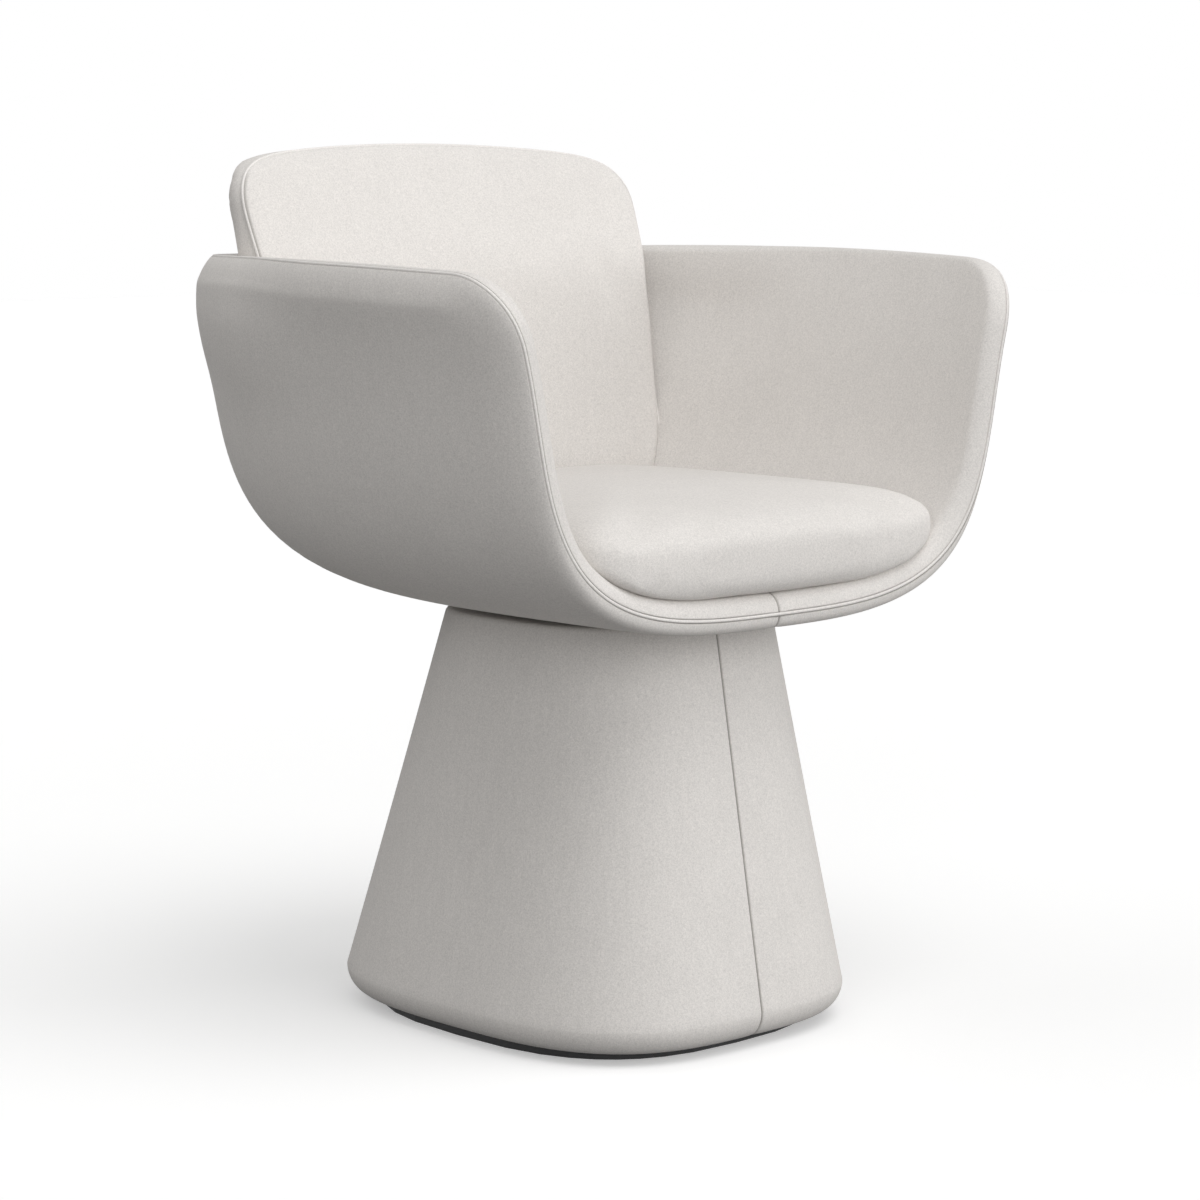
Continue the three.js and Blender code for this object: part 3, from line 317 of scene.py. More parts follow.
def along_ray(direction):
    """Where a ray from the eye meets the wall, found by halving the distance."""
    near = np.zeros(direction.shape[:-1])
    far = np.full(direction.shape[:-1], 2 * TUB_HALF_WIDTH)
    for _ in range(HALVINGS):
        middle = (near + far) / 2
        x, y, z = np.moveaxis(TUB_EYE + direction * middle[..., None], -1, 0)
        inside = (z > tub_floor(y)) & (y < TUB_REAR_Y) & (np.abs(x) < tub_half(y, z))
        near = np.where(inside, middle, near)
        far = np.where(inside, far, middle)
    return TUB_EYE + direction * near[..., None]


def arm_line(y):
    """Height of the wall's edge along the arm: a shallow parabola, highest in the rear corners."""
    return ARM_CREST_Z - ARM_SAG * (y - ARM_CREST_Y) ** 2


def right_edge():
    """The wall's edge on the right: from the middle of the lip up the front of the arm, a quarter
    superellipse of power 2.5 round its corner, and along the arm to the middle of the rear."""
    def on_wall(y, z):
        return np.stack([tub_half(y, z), y, z], 1)

    t = np.linspace(0, 1, 161)
    quarter = np.pi / 2 * t[1:]
    across = 1 - np.cos(quarter) ** (2 / ARM_CORNER_POWER)
    rise = 1 - np.sin(quarter) ** (2 / ARM_CORNER_POWER)
    z = mix(TUB_FLOOR_Z, arm_line(TUB_FRONT_Y) - ARM_CORNER_HEIGHT, t**3)
    front = on_wall(np.full_like(z, TUB_FRONT_Y), z)
    y = TUB_FRONT_Y + ARM_CORNER_LENGTH * across
    corner = on_wall(y, arm_line(y) - ARM_CORNER_HEIGHT * rise)
    y = mix(TUB_FRONT_Y + ARM_CORNER_LENGTH, TUB_REAR_Y, np.sin(quarter))
    arm = on_wall(y, arm_line(y))
    arm[-1, 0] = 0
    return np.concatenate([front, corner, arm])


def reach_along(points, bend_length=0.35):
    """Distance along a line, to which each bend adds bend_length for every radian."""
    steps = np.diff(points, axis=0)
    heading = unit(steps)
    bend = np.arccos(np.clip((heading[1:] * heading[:-1]).sum(1), -1, 1))
    length = np.linalg.norm(steps, axis=1)
    length[1:] += bend_length * bend
    return np.concatenate([[0], np.cumsum(length)])


EDGE = right_edge()
EDGE_REACH = reach_along(EDGE)


def edge_at(share):
    """The wall's edge from the middle of the lip (0) by the right to the middle of the rear (one
    half) and back by the left."""
    turn = share - np.floor(share)
    goal = 2 * np.minimum(turn, 1 - turn) * EDGE_REACH[-1]
    x, y, z = (np.interp(goal, EDGE_REACH, EDGE[:, k]) for k in range(3))
    return np.stack([np.where(turn > 0.5, -x, x), y, z], -1)


def wall_at(ring, share):
    """The wall as a disc: the ray swings from the pole (ring 0) to the edge (ring 1)."""
    edge = unit(edge_at(share) - TUB_EYE)
    swing = np.arccos(np.clip(edge @ TUB_POLE, -1, 1))
    direction = (TUB_POLE * np.sin((1 - ring) * swing)[..., None]
                 + edge * np.sin(ring * swing)[..., None])
    return along_ray(unit(direction))


def wall_frames(ring, share):
    """Point, outward normal and the direction that leads out over the edge, from slopes taken
    over a small share of the disc."""
    ring, share = np.broadcast_arrays(ring, share)
    slope_ring = np.maximum(ring, POLE_RING)
    across = wall_at(slope_ring + SLOPE_STEP, share) - wall_at(slope_ring - SLOPE_STEP, share)
    along = wall_at(slope_ring, share + SLOPE_STEP) - wall_at(slope_ring, share - SLOPE_STEP)
    point = wall_at(ring, share)
    normal = unit(np.cross(across, along))
    normal *= np.sign((normal * (point - TUB_EYE)).sum(-1, keepdims=True))
    outward = unit(np.cross(along, normal))
    outward *= np.sign((outward * across).sum(-1, keepdims=True))
    return point, normal, outward


def half_shares(count):
    """Stations from the lip's middle to the rear's, close together beside the middle seams."""
    near = SEAM_STATIONS / (2 * EDGE_REACH[-1])
    middle = np.linspace(near[-1], 0.5 - near[-1], count)[1:-1]
    return np.concatenate([near, middle, 0.5 - near[::-1]])


def rim_part(edge):
    """How much of the rim here is the arm's front edge, and how much its top."""
    top = smooth_step(TUB_FRONT_Y + 0.01, TUB_FRONT_Y + 0.05, edge[..., 1])
    return smooth_step(0.40, 0.52, edge[..., 2]) * (1 - top), top


def shoulder_length(edge, side):
    """How far from the crest of the rim the padding starts to round off: the same on both sides of
    the lip; on the arms longer outside (side 1), most of all in front, than inside (side -1)."""
    front, top = rim_part(edge)
    at_front, on_top = (SHOULDER_FRONT, SHOULDER_OUTER) if side > 0 else [SHOULDER_INNER] * 2
    return SHOULDER_LIP + front * (at_front - SHOULDER_LIP) + top * (on_top - SHOULDER_LIP)


def shoulder_power(edge, side):
    """Power of the superellipse in which the padding rounds off: 2 is a quarter ellipse; outside
    it is squarer at the lip, and nearly a bevel along the top of the arm."""
    front, top = rim_part(edge)
    return 2 + (side > 0) * (LIP_SQUARER * (1 - front - top) - TOP_FLATTER * top)


def piping_out(edge):
    """How far the piping lies outside the middle of the wall: most at the arm's front."""
    front, top = rim_part(edge)
    lip = 1 - front - top
    return (PIPING_LIP_MM * lip + PIPING_FRONT_MM * front + PIPING_TOP_MM * top) * MM


# ---------------- tub pieces
def cover_section(edge, side):
    """Section of a cover across the rim at each station: its way to the wall's edge, below 0 past
    it, and its offset from the middle of the wall. It runs parallel to the wall, rounds off as a
    superellipse as far as the groove, and is smoothed. Last comes the depth of the groove's rim."""
    shoulder = shoulder_length(edge, side)
    power = shoulder_power(edge, side)[None]
    crest = side * piping_out(edge)[None]
    width = COVER_OUT - crest
    turn = np.arccos((GROOVE_HALF / width) ** (power / 2))
    turn = np.linspace(0, 1, SHOULDER_ROWS)[:, None] * turn
    rise, reach = np.sin(turn) ** (2 / power), np.cos(turn) ** (2 / power)
    steps = np.linspace(0, 1, APPROACH_ROWS)[:-1, None]
    approach = mix(SECTION_START, shoulder[None] - COVER_OUT, steps)
    way = np.concatenate([approach, (shoulder[None] - COVER_OUT) - shoulder[None] * rise])
    offset = np.concatenate([np.full_like(approach, COVER_OUT), crest + width * reach])
    for _ in range(SECTION_SMOOTHING):
        for run in (way, offset):
            run[1:-1] = run[1:-1] / 2 + (run[:-2] + run[2:]) / 4
    return way, offset, shoulder * (1 - rise[-1])


def cover_pair(name, side):
    """Right and left half of the tub's padded cover outside (side 1) or inside (side -1) the
    shell, from the pole out over the rim and rolled into the groove beside the piping. At the
    middle plane it dips into the seam. Its lining follows the shell and bends over its edge."""
    share = half_shares(COVER_COLUMNS)
    edge, edge_normal, edge_outward = wall_frames(np.ones_like(share), share)
    inner = wall_at(1 - SLOPE_STEP + 0 * share, share)
    speed = ((edge - inner) * edge_outward).sum(-1) / SLOPE_STEP
    way, offset, depth = cover_section(edge, side)
    ring = 1 - np.maximum(way, 0) / speed
    start = np.linspace(0, 1, COVER_ROWS)[:-1, None] * ring[:1]
    ring = np.concatenate([start, ring])
    offset = np.concatenate([np.full_like(start, COVER_OUT), offset])
    ahead = np.concatenate([0 * start, np.maximum(-way, 0)])

    point, normal, _ = wall_frames(ring, share[None])
    over = ahead > 0
    normal = np.where(over[..., None], edge_normal[None], normal)
    base = np.where(over[..., None], edge[None], point)
    sink = seam_sink(base[..., 0], *TUB_SEAM)
    front = base + normal * (side * (offset - sink))[..., None]
    front = front + edge_outward[None] * (ahead - sink * (ahead / COVER_OUT))[..., None]

    crest = side * piping_out(edge)
    roll = []
    for half, deeper in GROOVE_ROLL_MM:
        middle = edge + edge_normal * (side * (crest + half * MM))[:, None]
        roll.append(middle + edge_outward * (COVER_OUT - depth - deeper * MM)[:, None])
    front = np.concatenate([front, np.stack(roll)])

    hidden = len(GROOVE_ROLL_MM)
    hidden_bend = np.radians(LINING_BEND + LINING_BEND_STEP * np.arange(1, hidden + 1))
    bend = np.concatenate([math.radians(LINING_BEND) * ahead / COVER_OUT,
                           hidden_bend[:, None] + 0 * ahead[:hidden]])
    hidden_base = np.concatenate([base, np.broadcast_to(edge, (hidden,) + edge.shape)])
    hidden_normal = np.concatenate([normal, np.broadcast_to(edge_normal, (hidden,) + edge.shape)])
    rear = (hidden_base + hidden_normal * (side * COVER_IN * np.cos(bend))[..., None]
            + edge_outward[None] * (COVER_IN * np.sin(bend))[..., None])

    # Painted shade: full in the groove beside the piping, partial at its rim, weaker inside the
    # tub, and along the middle seam.
    seam = np.zeros(front.shape[:2])
    seam[-hidden:] = 1
    seam[-hidden - 1] = 0.4
    seam *= 1 if side > 0 else 0.45
    seam = np.maximum(seam, dip(np.abs(front[..., 0]), 0.75 * MM))
    for sheet in (front, rear):
        sheet[0] = sheet[0, 0]
    return right_and_left(name, front, rear, seam)


def moulded_shell():
    """The plywood shell between the two covers: the same wall, 5.9 mm to either side."""
    columns, rows = 144, 34
    share = np.arange(columns) / columns
    point, normal, _ = wall_frames(np.linspace(0, 1, rows)[:, None], share[None])
    sheets = [point + normal * side * SHELL_HALF for side in (1, -1)]
    for sheet in sheets:
        sheet[0] = sheet[0].mean(0)
    return sheet_body("tub_shell_moulded", sheets[0], sheets[1], around=True)


def rim_piping():
    """The flat piping round the rim: a squarish tube along the wall's edge between the covers."""
    share = half_shares(300)
    edge, normal, outward = wall_frames(np.ones_like(share), share)
    edge[[0, -1], 0] = 0
    line = edge + outward * (COVER_OUT - PIPING_SINK) + normal * piping_out(edge)[:, None]
    both = [np.concatenate([a, mirrored(a)[-2:0:-1]]) for a in (line, normal, outward)]
    return tube("rim_piping_cord", *both, PIPING_HALF, PIPING_HALF_HIGH, 16, PIPING_POWER)


def clear_of_tub(points, gap):
    """Draws points towards the eye until they are a gap away from the wall, square to it."""
    direction = unit(points - TUB_EYE)
    distance = np.linalg.norm(points - TUB_EYE, axis=-1)
    wall = along_ray(direction)
    side = unit(np.cross(direction, np.array([0.31, 0.17, 0.93])))
    other = np.cross(direction, side)
    tilt, least_facing = 0.01, 0.25
    a = along_ray(unit(direction + tilt * side)) - along_ray(unit(direction - tilt * side))
    b = along_ray(unit(direction + tilt * other)) - along_ray(unit(direction - tilt * other))
    normal = unit(np.cross(a, b))
    facing = np.maximum(np.abs((normal * direction).sum(-1)), least_facing)
    limit = np.linalg.norm(wall - TUB_EYE, axis=-1) - gap / facing
    keep = np.minimum(distance, limit)
    return TUB_EYE + direction * keep[..., None]


# ---------------- back's faces
def bells(z, table):
    """Sum of bells over the height, each given by its size, its level and its width."""
    return sum(size * dip(z - level, width) for size, level, width in table)


def back_line(z):
    """Depth of the back's side edge at a height: it leans, and rolls to the rear with the square
    of the height above its bend. Also gives the share of the roll's height."""
    rolled = clamp01((z - BACK_ROLL_START_Z) / (BACK_TOP_Z - BACK_ROLL_START_Z))
    return BACK_FOOT_Y + BACK_LEAN * (z - BACK_FOOT_Z) + BACK_ROLL * rolled**2, rolled


def to_side(x):
    """Square of the share of the back's half width."""
    return np.minimum(np.abs(x) / BACK_HALF_WIDTH, 1) ** 2


def back_face_y(x, z):
    """Front face of the back: its side edge brought forward by a bell at the bend and one at the
    foot, and hollow across its width."""
    seam, _ = back_line(z)
    return seam - bells(z, BACK_FACE_BELLS) + BACK_HOLLOW * (1 - to_side(x))


def back_rear_y(x, z):
    """Rear face of the back: as thick as the sides and bulging towards the middle, both less
    towards the rolled top."""
    seam, rolled = back_line(z)
    start = BACK_FOOT_Y + BACK_LEAN * (BACK_ROLL_START_Z - BACK_FOOT_Z)
    side = seam + BACK_SIDE - BACK_SIDE_THINNER * rolled**2
    room = TUB_REAR_Y - COVER_OUT - 0.005 - start - BACK_SIDE
    bulge = room * (1 - BACK_BULGE_LESS * rolled**2)
    return side + bulge * (1 - to_side(x)) ** 1.4


# ---------------- seat cushion
def seat_reach(turn):
    """How far the cushion's outline lies from its middle: the smooth minimum, of power 20, of the
    way to the tub's side wall and of the way to the rear line or to the front line, a parabola."""
    side, run = np.abs(np.cos(turn)), np.sin(turn)
    sideways = np.full_like(turn, TUB_HALF_WIDTH)
    endways = np.full_like(turn, TUB_HALF_WIDTH)
    for _ in range(24):
        y = np.clip(SEAT_MIDDLE_Y + sideways * run, SEAT_FRONT_Y, SEAT_REAR_Y)
        wall = tub_half(y, SEAT_BULGE_Z) - COVER_OUT + SEAT_PRESS
        sideways = mix(sideways, wall / np.maximum(side, 1e-6), 0.5)
        bowed = SEAT_BOW * np.minimum(endways * side / SEAT_BOW_REACH, 1) ** 2 * (run < 0)
        length = (SEAT_REAR_Y - SEAT_FRONT_Y) / 2 - bowed
        endways = mix(length / np.maximum(np.abs(run), 1e-6), endways, 0.5)
    power = SEAT_OUTLINE_POWER
    return (sideways**-power + endways**-power) ** (-1 / power)


def lip_top(y):
    """Height of the rounded lip's upper surface: flat, then a quarter circle down in front."""
    ahead = np.clip(TUB_FRONT_Y - y, 0, LIP_ROUND)
    return TUB_FLOOR_Z + np.sqrt((COVER_OUT + LIP_CLEARANCE) ** 2 - ahead**2)


def seat_sheets(columns, rows, inset):
    """Upper and lower sheet of the cushion: each is a quarter superellipse from the bulge line to
    the middle, soft in front, squarer at the sides, nearly square at the rear and underneath. The
    top has a parabolic crown. In front of the tub's floor the lower sheet sinks round the lip."""
    turn = 2 * np.pi * np.arange(columns) / columns - np.pi / 2
    reach = seat_reach(turn) - inset
    edge_x, edge_y = reach * np.cos(turn), SEAT_MIDDLE_Y + reach * np.sin(turn)
    rearward = clamp01((edge_y - SEAT_MIDDLE_Y) / (SEAT_REAR_Y - SEAT_MIDDLE_Y)) ** 4
    sideward = smooth_step(0.75, 0.95, np.abs(edge_x) / np.abs(edge_x).max())
    swing = quarter_turn(rows)
    sheets = []
    for face, crown, soft in ((SEAT_TOP_Z - inset, SEAT_CROWN, SEAT_SOFT_POWER),
                              (SEAT_FLOOR_Z + inset / 2, 0, SEAT_SQUARE_POWER)):
        power = mix(mix(soft, SEAT_SIDE_POWER, sideward), SEAT_SQUARE_POWER, rearward)[None]
        out = np.sin(swing) ** (2 / power)
        up = np.clip(np.cos(swing), 0, 1) ** (2 / power)
        z = mix(SEAT_BULGE_Z, face, up) + crown * up * (1 - out**2)
        y = mix(SEAT_MIDDLE_Y, edge_y, out)
        if crown == 0:
            z = z - (SEAT_FLOOR_Z - lip_top(y) + 4 * MM) * up * (y < TUB_FRONT_Y)
        sheets.append(np.stack([edge_x * out, y, z], -1))
    for sheet in sheets:
        sheet[0] = sheet[0].mean(0)
    return sheets


def fit_seat(mesh):
    """Keeps the cushion off the tub, off the lip and off the back."""
    points = clear_of_tub(positions(mesh), COVER_OUT - SEAT_PRESS)
    points[..., 2] = np.maximum(points[..., 2], lip_top(points[..., 1]))
    rear = back_face_y(points[..., 0], points[..., 2]) - 4 * MM
    points[..., 1] = np.minimum(points[..., 1], rear)
    place(mesh, points)


def even_out(mesh, rounds, share):
    """Moves each vertex a share of the way to the mean of its neighbours, several times."""
    count = len(mesh.vertices)
    co = positions(mesh)
    ends = np.zeros(len(mesh.edges) * 2, int)
    mesh.edges.foreach_get("vertices", ends)
    a, b = ends.reshape(-1, 2).T
    degree = np.bincount(a, minlength=count) + np.bincount(b, minlength=count)
    for _ in range(rounds):
        mean = np.stack([np.bincount(a, co[b, k], count) + np.bincount(b, co[a, k], count)
                         for k in range(3)], 1) / np.maximum(degree, 1)[:, None]
        co = mix(co, mean, share)
    place(mesh, co)


def bake(piece):
    """Replaces a piece's mesh by what its modifiers make of it."""
    graph = bpy.context.evaluated_depsgraph_get()
    mesh = bpy.data.meshes.new_from_object(piece.evaluated_get(graph))
    piece.modifiers.clear()
    old, piece.data = piece.data, mesh
    bpy.data.meshes.remove(old)
    shade_smooth(mesh)


CLOTH = {"quality": 5, "mass": 0.3, "tension_stiffness": 20, "compression_stiffness": 20,
         "bending_stiffness": 2, "use_pressure": True}


def swell(piece, pressure, cap, held=None, frames=20):
    """Blows a closed piece up as cloth under air pressure without gravity, then keeps that swell
    up to a cap. held is a weight per vertex, 1 where the cloth is sewn fast."""
    start = positions(piece.data)
    if held is not None:
        group = piece.vertex_groups.new(name="sewn")
        for weight in np.unique(held[held > 0]):
            group.add(np.nonzero(held == weight)[0].tolist(), float(weight), "REPLACE")
    cloth = piece.modifiers.new("Cloth", "CLOTH")
    for key, value in CLOTH.items():
        setattr(cloth.settings, key, value)
    cloth.settings.uniform_pressure_force = pressure
    cloth.settings.effector_weights.gravity = 0
    cloth.collision_settings.use_collision = False
    if held is not None:
        cloth.settings.vertex_group_mass = "sewn"
    for number in range(1, frames + 1):
        scene.frame_set(number)
    graph = bpy.context.evaluated_depsgraph_get()
    end = positions(piece.evaluated_get(graph).to_mesh())
    piece.modifiers.clear()
    scene.frame_set(1)
    move = end - start
    size = np.maximum(np.linalg.norm(move, axis=1, keepdims=True), 1e-9)
    place(piece.data, start + move / size * cap * np.tanh(size / cap))
    piece.vertex_groups.clear()


def seat_cushion():
    """The loose seat cushion: the closed form is made a little small, remeshed evenly, blown up as
    cloth and fitted between tub and back."""
    upper, lower = seat_sheets(150, 34, SEAT_SMALLER)
    piece = sheet_body("seat_cushion_padded", upper, lower, around=True)
    remesh = piece.modifiers.new("Remesh", "REMESH")
    remesh.mode = "VOXEL"
    remesh.voxel_size = SEAT_VOXEL
    bake(piece)
    even_out(piece.data, 4, 0.5)
    swell(piece, 4, SEAT_SWELL)
    fit_seat(piece.data)
    even_out(piece.data, 3, 0.4)
    fit_seat(piece.data)
    finer = piece.modifiers.new("Finer", "SUBSURF")
    finer.levels = finer.render_levels = 1
    bake(piece)
    mark_seam_shade(piece.data, np.zeros(len(piece.data.vertices)))
    return piece


# ---------------- back
def back_outline(turn, inset):
    """Outline of the back from the front: a superellipse of power 10.5 about its middle height,
    with a top that drops to the sides with the square of the width, flared by a bell below the
    top corners and drawn in by one further down."""
    half = BACK_HALF_WIDTH - inset
    side, up = np.cos(turn), np.sin(turn)
    reach = np.full_like(turn, half)
    for _ in range(14):
        x = np.minimum(np.abs(reach * side), half)
        top = BACK_TOP_Z - inset - BACK_TOP_DROP * (x / BACK_HALF_WIDTH) ** 2
        height = np.where(up > 0, top - BACK_MIDDLE_Z, BACK_MIDDLE_Z - BACK_FOOT_Z - inset)
        reach = (np.abs(side / half) ** BACK_POWER + np.abs(up / height) ** BACK_POWER)
        reach = reach ** (-1 / BACK_POWER)
    z = BACK_MIDDLE_Z + reach * up
    return reach * side * (1 + bells(z, BACK_FLARE_BELLS)), z


def into_crease(x, z):
    """How far the front pad's edge rounds back where it meets the tub: a quarter circle of 6 mm."""
    gap = tub_half(back_face_y(x, z), z) - COVER_OUT - 1.5 * MM - np.abs(x)
    near = CREASE_ROUND - np.clip(gap, 0, CREASE_ROUND)
    return CREASE_ROUND - np.sqrt(CREASE_ROUND**2 - near**2)


def back_turns(columns):
    """Turns for evenly spaced stations round the back's outline, closer together in its bends."""
    dense = np.linspace(0, 2 * np.pi, 1441) - np.pi / 2
    x, z = back_outline(dense, 0)
    reach = reach_along(np.stack([x, 0 * x, z], 1), 0.12)
    return np.interp(np.arange(columns) / columns * reach[-1], reach, dense)


def out_shares(rows):
    """Shares from the middle to the outline, closer together towards the outline."""
    return np.sin(quarter_turn(rows)) ** 0.8


def back_sheet(turn, depth_at, rows=BACK_ROWS, rounding=0, edge_rows=0):
    """A sheet of the back from its middle to its outline at a given depth, whose last rows turn
    round the edge as a quarter circle."""
    edge_x, edge_z = back_outline(turn, 0)
    round_x, round_z = back_outline(turn, rounding)
    out = out_shares(rows)
    x, z = round_x * out, mix(BACK_MIDDLE_Z, round_z, out)
    sheet = np.stack([x, depth_at(x, z, out), z], -1)
    if edge_rows:
        swing = quarter_turn(edge_rows + 1)[1:]
        x, z = mix(round_x, edge_x, np.sin(swing)), mix(round_z, edge_z, np.sin(swing))
        y = sheet[-1, :, 1] - rounding * (1 - np.cos(swing))
        sheet = np.concatenate([sheet, np.stack([x, y, z], -1)])
    sheet[0] = sheet[0].mean(0)
    return sheet


def front_pad_painted_shade(sheet):
    """Where shade is painted on the front pad: along the edge of its sides, as in a seam, and in
    the crease where it rounds back against the tub."""
    at_side = smooth_step(0.93, 0.99, np.abs(sheet[-1, :, 0]) / BACK_HALF_WIDTH)
    seam = smooth_step(0.990, 0.997, out_shares(len(sheet))) * at_side[None]
    crease = into_crease(sheet[..., 0], sheet[..., 2])
    return np.maximum(seam, smooth_step(3.5 * MM, 5.5 * MM, crease))


def back_pads():
    """The back's front pad and rear pad. Both end in a thin sewn edge at the welt; each is blown
    up as cloth held at that edge, and fitted into the tub."""
    def face(x, z, out):
        rounding = np.sqrt(1 - out**20)
        return back_face_y(x, z) - PAD_EDGE - PAD_RISE * rounding + into_crease(x, z)

    def front_of_seam(x, z, out):
        return back_face_y(x, z) - 0.3 * MM * out**30 - 0.05 * MM + into_crease(x, z)

    def rear_of_seam(x, z, out):
        return back_face_y(x, z) + 0.45 * MM + 0.8 * MM * out**30

    def rear(x, z, out):
        return back_rear_y(x, z) + 0 * out

    turn = back_turns(BACK_COLUMNS)
    front_face, front_lining = back_sheet(turn, face), back_sheet(turn, front_of_seam)
    rear_face = back_sheet(turn, rear, BACK_ROWS, BACK_EDGE_ROUND, BACK_EDGE_ROWS)
    rear_lining = back_sheet(turn, rear_of_seam, BACK_ROWS + BACK_EDGE_ROWS)
    pieces = []
    for name, sheet, lining, seam in (
        ("back_front_pad_padded", front_face, front_lining, front_pad_painted_shade(front_face)),
        ("back_rear_pad_padded", rear_face, rear_lining, np.zeros(rear_face.shape[:2])),
    ):
        piece = sheet_body(name, sheet, lining, around=True, seam=seam)
        points = positions(piece.data)
        gap = np.abs(points[:, 1] - back_face_y(points[:, 0], points[:, 2]))
        held = np.round(1 - smooth_step(2 * MM, 9 * MM, gap), 2)
        swell(piece, 3, PAD_SWELL, held)
        place(piece.data, clear_of_tub(positions(piece.data), COVER_OUT - PAD_PRESS))
        pieces.append(piece)
    return pieces


def back_welt():
    """The round welt between the two pads, along the outline of the back."""
    x, z = back_outline(back_turns(420), -WELT_OUT)
    line = np.stack([x, back_face_y(x, z) + WELT_REAR, z], -1)
    line = clear_of_tub(line, COVER_OUT - WELT_PRESS)
    along = unit(np.roll(line, -1, 0) - np.roll(line, 1, 0))
    side = unit(np.cross(along, np.array([0.0, 1.0, 0.0])))
    up = unit(np.cross(along, side))
    return tube("back_piping_cord", line, side, up, WELT_RADIUS, WELT_RADIUS, 12)


# ---------------- pedestal
def pedestal_point(turn, z, inset):
    """The pedestal's superellipse section, whose half widths, middle and power run in straight
    lines from its widest level to its neck, drawn in by an inset."""
    k = (np.maximum(z, PED_WIDE_Z) - PED_WIDE_Z) / (PED_NECK_Z - PED_WIDE_Z)
    half_x, half_y = mix(*PED_HALF_X, k) - inset, mix(*PED_HALF_Y, k) - inset
    middle_y, power = mix(*PED_MIDDLE_Y, k), mix(*PED_POWER, k)
    side, run = np.cos(turn), np.sin(turn)
    reach = (np.abs(side / half_x) ** power + np.abs(run / half_y) ** power) ** (-1 / power)
    return np.stack([reach * side, middle_y + reach * run, z + 0 * reach], -1)


def pedestal_turns():
    """Turns from the front seam to the rear seam, closer together in the bends and beside them."""
    near = SEAM_STATIONS / PED_SEAM_REACH
    dense = np.linspace(-np.pi / 2, np.pi / 2, 721)
    reach = reach_along(pedestal_point(dense, 0.1 + 0 * dense, 0 * dense), 0.08)
    turn = np.interp(np.linspace(0, reach[-1], 150), reach, dense)
    room = near[-1] * 1.2
    turn = turn[(turn > -np.pi / 2 + room) & (turn < np.pi / 2 - room)]
    return np.concatenate([near - np.pi / 2, turn, np.pi / 2 - near[::-1]])[None]


def pedestal_cover():
    """Right and left half of the pedestal's padded cover: in under the foot, round it as a quarter
    ellipse, up the tapering wall, over a small rounded shoulder and in to the swivel plate. At
    the middle plane it dips into the seam."""
    turn = pedestal_turns()
    swing = quarter_turn(16)
    foot_z = mix(PED_WIDE_Z, PED_FLOOR_Z, np.cos(swing))
    foot_in = FOOT_INSET * (1 - np.sin(swing))
    under_in = FOOT_INSET + COVER_THICKNESS * np.array([1, 0.7, 0.4, 0.2])[:, None]
    wall_z = np.linspace(PED_WIDE_Z, PED_TOP_Z - PED_SHOULDER, 42)[1:, None]
    top_z = PED_TOP_Z - PED_SHOULDER * (1 - np.sin(swing[3::3]))
    top_in = PED_SHOULDER * (1 - np.cos(swing[3::3]))
    z = np.concatenate([PED_FLOOR_Z + 0 * under_in, foot_z, wall_z, top_z])
    inset = np.concatenate([under_in, foot_in, 0 * wall_z, top_in])
    front = pedestal_point(turn, z, inset)
    normal = unit(np.cross(np.gradient(front, axis=1), np.gradient(front, axis=0)))
    opening = np.stack([PED_OPENING * np.cos(turn), PED_OPENING * np.sin(turn),
                        PED_TOP_Z + 0 * turn], -1)

    def closed_to(sheet, end):
        """A sheet with three more rows that lead in to the opening."""
        return np.concatenate([sheet, mix(sheet[-1:], end, 0.3), mix(sheet[-1:], end, 0.65), end])

    front = closed_to(front, opening)
    upward = np.broadcast_to(np.array([0, 0, 1.0]), (3,) + normal.shape[1:])
    normal = np.concatenate([normal, upward])
    front = front - normal * seam_sink(front[..., 0], *PED_SEAM)[..., None]

    wall = np.linspace(PED_WIDE_Z, PED_TOP_Z - COVER_THICKNESS, len(z) - 12)
    foot = np.linspace(PED_FLOOR_Z + 0.3 * MM, BOARD_TOP_Z, 12)
    lining = np.concatenate([foot, wall])[:, None]
    up = clamp01((lining - PED_FLOOR_Z) / (BOARD_TOP_Z - PED_FLOOR_Z))
    rear = pedestal_point(turn, lining, COVER_THICKNESS + FOOT_INSET * (1 - up))
    rear = closed_to(rear, opening - np.array([0, 0, COVER_THICKNESS]))
    # Painted shade along the front and rear middle seams.
    seam = dip(np.abs(front[..., 0]), 0.8 * MM)
    return right_and_left("pedestal_cover_padded", front, rear, seam)


# ---------------- materials
NOISE_RANGE = (0.3, 0.7)  # nearly all values of a noise texture lie in it
# Painted shade: the dark colour that the cloth is given in its seams' grooves and creases, where
# light doesn't reach.
SEAM_SHADE_COLOUR = (0.16, 0.145, 0.13, 1)
GROUP_OUTPUTS = {"Color": (1.0, 1.0, 1.0, 1.0), "Roughness": 0.5, "Height": 0.0}


def feed(tree, socket, value):
    """Links a socket's output in where the value is one, and sets it as a constant otherwise."""
    if isinstance(value, bpy.types.NodeSocket):
        tree.links.new(value, socket)
    else:
        socket.default_value = value


def add_node(tree, kind, **sockets):
    """A node with links or constants on its named input sockets."""
    made = tree.nodes.new(kind)
    for key, value in sockets.items():
        feed(tree, made.inputs[key], value)
    return made


def mix_colour(tree, blend, factor, a, b):
    """A colour mix of two links or colours, returned as its output socket."""
    made = tree.nodes.new("ShaderNodeMix")
    made.data_type, made.blend_type = "RGBA", blend
    for number, value in ((0, factor), (6, a), (7, b)):
        feed(tree, made.inputs[number], value)
    return made.outputs[2]


def spread(tree, value, low, high, to_low=0.0, to_high=1.0):
    """A value's range low..high carried over to another range."""
    made = tree.nodes.new("ShaderNodeMapRange")
    for number, source in enumerate((value, low, high, to_low, to_high)):
        feed(tree, made.inputs[number], source)
    return made.outputs[0]


